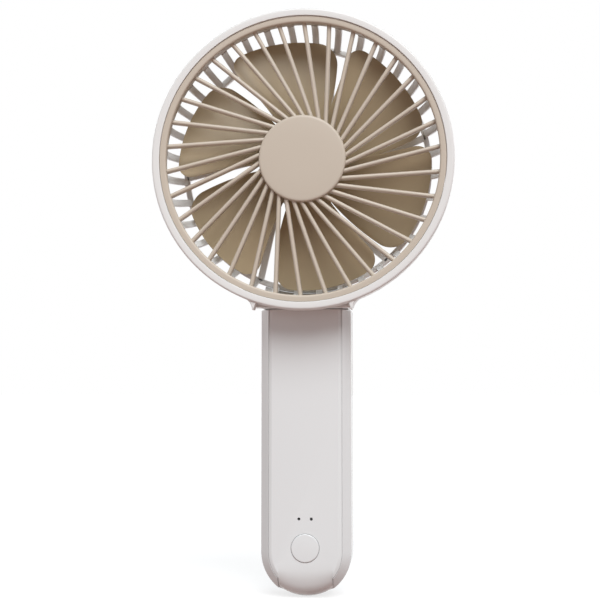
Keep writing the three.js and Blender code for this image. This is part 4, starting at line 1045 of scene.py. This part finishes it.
class FAN_OT_panel(bpy.types.Operator):
    """Raised front panel with its bevelled edge, the falling top, the holes and the rolled chin"""

    bl_idname = "fan.panel"
    bl_label = "Front Panel"

    def execute(self, context):
        handle = context.scene.fan_handle
        bevel, deep = handle.panel_bevel, handle.panel_bevel_depth
        insets_and_depths = [
            (0.0, handle.panel_rear), (0.0, deep + 0.25 * MM), (0.04 * MM, deep + 0.08 * MM),
            (0.12 * MM, deep), (0.3 * MM, deep * 0.86), (bevel - 0.15 * MM, deep * 0.15),
            (bevel, deep * 0.05), (bevel + 0.2 * MM, 0.0),
        ]
        half, corner = handle.panel_half_width, handle.panel_corner
        bm = lofted([handle_loop(half - inset, depth, corner) for inset, depth in insets_and_depths])
        self.bend_top(bm, handle)
        panel = finish_piece("handle_panel", bm, "handle", "handle_white", ["front_cover"])
        for shape in self.rooms(handle):
            cut(panel, shape)
        self.join_chin(panel, handle)
        return {"FINISHED"}

    def rooms(self, handle):
        """Shapes taken out of the panel: its hollow back, the chin's place and the drilled holes."""
        wall, solid_top, behind, gap = 1.6 * MM, 15.2 * MM, 4.0 * MM, 0.12 * MM
        inside, top = handle.panel_half_width - wall, handle.top - solid_top
        hollow = [handle_loop(inside, d, handle.panel_corner, top) for d in (wall, behind)]
        half, low, high = handle.chin_half_width, -CUT_OVERRUN, handle.chin_top
        front, rear = HANDLE_FRONT - CUT_OVERRUN, HANDLE_FRONT + behind
        chin = [(x, front, z) for x, z in ((-half, low), (half, low), (half, high), (-half, high))]
        button = drill(handle.button_radius + gap, front, rear, BUTTON, 96)
        shapes = [lofted(hollow), block(chin, (0.0, rear - front, 0.0)), button]
        for name in ("light_pipe_left", "light_pipe_right"):
            shapes.append(drill(0.6 * MM, front, rear, middle(name), 24))
        return shapes

    def bend_top(self, bm, handle):
        """Let the panel's upper end fall back in a gentle curve, its rear edge left in place."""
        start, steps, power = handle.top - handle.fall_length, 9, 1.6
        for i in range(steps):
            height = start + handle.fall_length * i / steps
            bmesh.ops.bisect_plane(
                bm, geom=bm.verts[:] + bm.edges[:] + bm.faces[:], dist=0.0001 * MM,
                plane_co=(0.0, 0.0, height), plane_no=(0.0, 0.0, 1.0),
            )
        for v in bm.verts:
            past = max(0.0, v.co.z - start) / handle.fall_length
            fade = 1 - min(1.0, (v.co.y - HANDLE_FRONT) / handle.panel_rear)
            v.co.y += handle.fall_drop * past ** power * fade

    def join_chin(self, panel, handle):
        """Sheet that rolls from the panel's face back to the round end, joined to the panel's mesh."""
        bm = bmesh.new()
        bm.from_mesh(panel.data)
        old_faces = set(bm.faces)
        half, radius = handle.chin_half_width, handle.half_width
        grid = bmesh.ops.create_grid(bm, x_segments=28, y_segments=28, size=0.5)["verts"]
        for v in grid:
            x, share = v.co.x * 2 * half, v.co.y + 0.5
            depth, height = chin_curve(share)
            end = radius - math.sqrt(radius ** 2 - x ** 2)
            height = end + height * (handle.chin_top - end) / handle.chin_top
            v.co = (x, HANDLE_FRONT + depth, height)
        thicken(bm, [f for f in bm.faces if f not in old_faces], (0.0, 1.1 * MM, 1.1 * MM))
        bmesh.ops.recalc_face_normals(bm, faces=[f for f in bm.faces if f not in old_faces])
        bm.to_mesh(panel.data)
        bm.free()
        shade(panel.data)


class FAN_OT_button(bpy.types.Operator):
    """Round push button with a softly crowned face"""

    bl_idname = "fan.button"
    bl_label = "Push Button"

    def execute(self, context):
        radius, edge, crown = context.scene.fan_handle.button_radius, 0.4 * MM, 0.15 * MM
        low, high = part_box("power_button")
        face, rear, boss = low.y - FRONT, high.y - FRONT, 1.4 * MM
        flange, flange_front, flange_rear = high.x - BUTTON.x, rear - 1.4 * MM, rear - 0.6 * MM
        profile = crowned(radius - edge, face, crown, 2)
        profile += arc((radius - edge, face + crown + edge), edge, -QUARTER, 0.0, 6)[1:]
        profile += [(radius, flange_front), (flange, flange_front), (flange, flange_rear)]
        profile += [(boss, flange_rear), (boss, rear), (0.0, rear)]
        bm = bmesh.new()
        add_turned(bm, profile, 96, close=False)
        bmesh.ops.translate(bm, verts=bm.verts, vec=(BUTTON.x, 0.0, BUTTON.z - AXLE.z))
        finish_piece("push_button", bm, "button", "handle_white", ["power_button"])
        return {"FINISHED"}


class FAN_OT_small_parts(bpy.types.Operator):
    """Screws with cross recesses, and finishes for the parts kept as they are"""

    bl_idname = "fan.small_parts"
    bl_label = "Small Parts"

    def execute(self, context):
        self.add_screws()
        for entry in frame["record"]["subparts"]:
            if entry["node"] not in STOOD_FOR:
                kept = frame["nodes"][entry["node"]]
                kept.data.materials.clear()
                kept.data.materials.append(MATERIALS[entry["material_slot"]])
        return {"FINISHED"}

    def add_screws(self):
        """The four screws in the handle's back."""
        bm = bmesh.new()
        for name in SHELL_SCREWS:
            self.add_screw(bm, name)
        finish_piece("shell_screws", bm, "handle", "screw_steel", SHELL_SCREWS, 40.0)

    def add_screw(self, bm, name):
        """Pan head with a cross recess, on a plain shank."""
        (low, high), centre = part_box(name), middle(name)
        x, z, tip, head, radius = centre.x, centre.z, low.y, high.y, (high.x - low.x) / 2
        thickness, shank_radius = SCREW_HEAD_THICKNESS, 0.84 * MM
        verts = add_rod(bm, radius * 0.99, (x, head - thickness / 2, z), thickness)
        edges = edges_among(bm, verts, lambda a, b: min(a.co.y, b.co.y) > head - 0.01 * MM)
        soften(bm, edges, 0.3 * MM)
        face = max(
            (f for f in bm.faces if abs(f.calc_center_median().x - x) < radius / 4
             and abs(f.calc_center_median().z - z) < radius / 4),
            key=lambda f: f.calc_center_median().y,
        )
        self.cross_recess(bm, face, x, z, head, radius)
        shank = head - thickness - tip
        add_rod(bm, shank_radius, (x, tip + shank / 2, z), shank, segments=20)

    def cross_recess(self, bm, face, x, z, head, radius):
        """Cross slot for the driver, sunk in the middle of the head."""
        rim, arm, width, depth = radius * 0.25, radius * 0.5, radius * 0.13, 0.6 * MM
        bmesh.ops.inset_individual(bm, faces=[face], thickness=rim, depth=0.0)
        outline = [
            (width, width), (width, arm), (-width, arm), (-width, width), (-arm, width),
            (-arm, -width), (-width, -width), (-width, -arm), (width, -arm), (width, -width),
            (arm, -width), (arm, width),
        ]
        ring = [bm.verts.new((x + a, head, z + b)) for a, b in outline]
        cross = bm.faces.new(ring)
        hole_edges = [*face.edges, *cross.edges]
        bm.faces.remove(face)
        bmesh.ops.triangle_fill(bm, use_beauty=True, use_dissolve=False, edges=hole_edges)
        deep = bmesh.ops.extrude_face_region(bm, geom=[cross], use_keep_orig=False)
        floor = [item for item in deep["geom"] if isinstance(item, bmesh.types.BMVert)]
        bmesh.ops.translate(bm, verts=floor, vec=(0.0, -depth, 0.0))
        bmesh.ops.delete(bm, geom=[cross], context="FACES_ONLY")


# Studio

class FAN_OT_stage(bpy.types.Operator):
    """Pale floor, soft light and the camera at the photograph's viewing angle"""

    bl_idname = "fan.stage"
    bl_label = "Stage"

    def execute(self, context):
        self.add_floor(context)
        self.add_world(context)
        self.add_lamps(context)
        self.add_camera(context)
        context.scene.view_settings.view_transform = "Standard"
        return {"FINISHED"}

    def add_floor(self, context):
        """Level sheet far wider than the view, white where seen, with a painted warm shade in the light it
        bounces.
        """
        half_width = 6.0
        bm = bmesh.new()
        bmesh.ops.create_grid(bm, x_segments=1, y_segments=1, size=half_width)
        mesh = bpy.data.meshes.new("floor")
        bm.to_mesh(mesh)
        bm.free()
        floor = bpy.data.objects.new("floor", mesh)
        context.scene.collection.objects.link(floor)
        mesh.materials.append(seamless_paper(context.scene.fan_finishes.floor))

    def add_world(self, context):
        """Plain white where it is seen, and a softer, slightly cool level as light."""
        cool, level, white = (0.93, 1.0, 1.06, 1.0), 0.375, (1.0, 1.0, 1.0, 1.0)
        world = bpy.data.worlds.new("Studio")
        context.scene.world = world
        world.use_nodes = True
        tree = world.node_tree
        light = tree.nodes["Background"]
        light.inputs["Color"].default_value = cool
        light.inputs["Strength"].default_value = level
        plain = add_node(tree, "ShaderNodeBackground", {"Color": white, "Strength": 1.0})
        path = add_node(tree, "ShaderNodeLightPath").outputs
        through = add_node(
            tree, "ShaderNodeMath", operation="MAXIMUM",
            links={0: path["Is Camera Ray"], 1: path["Is Transmission Ray"]},
        ).outputs["Value"]
        seen = add_node(
            tree, "ShaderNodeMath", operation="MAXIMUM",
            links={0: through, 1: path["Is Glossy Ray"]},
        ).outputs["Value"]
        add_node(
            tree, "ShaderNodeMixShader", links={0: seen, 1: light.outputs[0], 2: plain.outputs[0]},
            feeds={0: tree.nodes["World Output"].inputs["Surface"]},
        )

    def add_lamps(self, context):
        """Broad key from above the camera, a little to the right, and two weak lamps behind."""
        self.add_lamp(context, "key_light", azimuth=16.0, elevation=45.0, spread=42.0, strength=3.0)
        for side, azimuth in (("right", 138.0), ("left", 222.0)):
            self.add_lamp(context, f"rear_{side}", azimuth, elevation=22.0, spread=60.0, strength=0.75)

    def add_lamp(self, context, name, azimuth, elevation, spread, strength):
        """Slightly cool sun lamp, at an azimuth of 0 in front and of 90 at the front view's right."""
        data = bpy.data.lights.new(name, "SUN")
        data.energy = strength
        data.angle = math.radians(spread)
        data.color = (0.97, 1.0, 1.01)
        lamp = bpy.data.objects.new(name, data)
        side, rise = math.radians(azimuth), math.radians(elevation)
        place = Vector((
            math.sin(side) * math.cos(rise), -math.cos(side) * math.cos(rise), math.sin(rise),
        ))
        lamp.location = place
        lamp.rotation_euler = place.to_track_quat("Z", "Y").to_euler()
        context.scene.collection.objects.link(lamp)

    def add_camera(self, context):
        """Camera half a metre in front of the head, a little to the right and below."""
        azimuth, elevation = math.radians(4.9), math.radians(-3.5)
        distance, aside, below = 500.0 * MM, 0.8 * MM, 55.1 * MM
        forward = Vector((
            -math.sin(azimuth) * math.cos(elevation), math.cos(azimuth) * math.cos(elevation),
            -math.sin(elevation),
        ))
        right = Vector((math.cos(azimuth), math.sin(azimuth), 0.0))
        up = right.cross(forward)
        centre = Vector((0.0, FRONT + 2.0 * MM, AXLE.z))
        place = centre - forward * distance - right * aside - up * below
        data = bpy.data.cameras.new("camera")
        data.sensor_width = 36.0
        data.lens = 77.15
        camera = bpy.data.objects.new("camera", data)
        turn = Matrix((right, up, -forward)).transposed()
        camera.matrix_world = Matrix.Translation(place) @ turn.to_4x4()
        context.scene.collection.objects.link(camera)
        context.scene.camera = camera


def seamless_paper(colour_value):
    """Paper floor: plain white with the fan's soft shadow where seen; to diffuse bounces a dark warm brown,
    painted shade that browns the fan's downward faces such as the chin.
    """
    grey, white, glow = (0.3, 0.3, 0.3, 1.0), (1.0, 1.0, 1.0, 1.0), 0.74
    material, tree, shader = new_material("Seamless Paper With Painted Bounce Shade", colour_value, 0.9)
    seen = add_node(tree, "ShaderNodeBsdfDiffuse", {"Color": grey})
    lift = add_node(tree, "ShaderNodeEmission", {"Color": white, "Strength": glow})
    both = add_node(
        tree, "ShaderNodeAddShader", links={0: seen.outputs[0], 1: lift.outputs[0]},
    )
    # Diffuse bounces see the dark brown shader: painted shade for the fan's downward faces, not the floor's seen
    # colour
    bounce = add_node(tree, "ShaderNodeLightPath").outputs["Is Diffuse Ray"]
    add_node(
        tree, "ShaderNodeMixShader", links={0: bounce, 1: both.outputs[0], 2: shader.outputs[0]},
        feeds={0: tree.nodes["Material Output"].inputs["Surface"]},
    )
    return material


BUILD_ORDER = (
    FAN_OT_finishes, FAN_OT_front_ring, FAN_OT_grille, FAN_OT_cap, FAN_OT_casing, FAN_OT_guard,
    FAN_OT_motor_lid, FAN_OT_wheel, FAN_OT_handle_tub, FAN_OT_panel, FAN_OT_button,
    FAN_OT_small_parts, FAN_OT_stage,
)


class FAN_PT_panel(bpy.types.Panel):
    """Sidebar panel with every step of the fan"""

    bl_idname = "FAN_PT_panel"
    bl_label = "Folding Handheld Fan"
    bl_space_type = "VIEW_3D"
    bl_region_type = "UI"
    bl_category = "Fan"

    def draw(self, context):
        column = self.layout.column(align=True)
        for step in BUILD_ORDER:
            column.operator(step.bl_idname)


CLASSES = (*SIZE_GROUPS.values(), *BUILD_ORDER, FAN_PT_panel)


def register():
    """Add the size groups, the steps and the panel to Blender."""
    for cls in CLASSES:
        bpy.utils.register_class(cls)
    for name, group in SIZE_GROUPS.items():
        setattr(bpy.types.Scene, name, PointerProperty(type=group))


def unregister():
    """Take them out again."""
    for name in SIZE_GROUPS:
        delattr(bpy.types.Scene, name)
    for cls in reversed(CLASSES):
        bpy.utils.unregister_class(cls)


def main():
    """Build the whole fan, step by step."""
    register()
    for step in BUILD_ORDER:
        group, name = step.bl_idname.split(".")
        getattr(getattr(bpy.ops, group), name)()


if __name__ == "__main__":
    main()
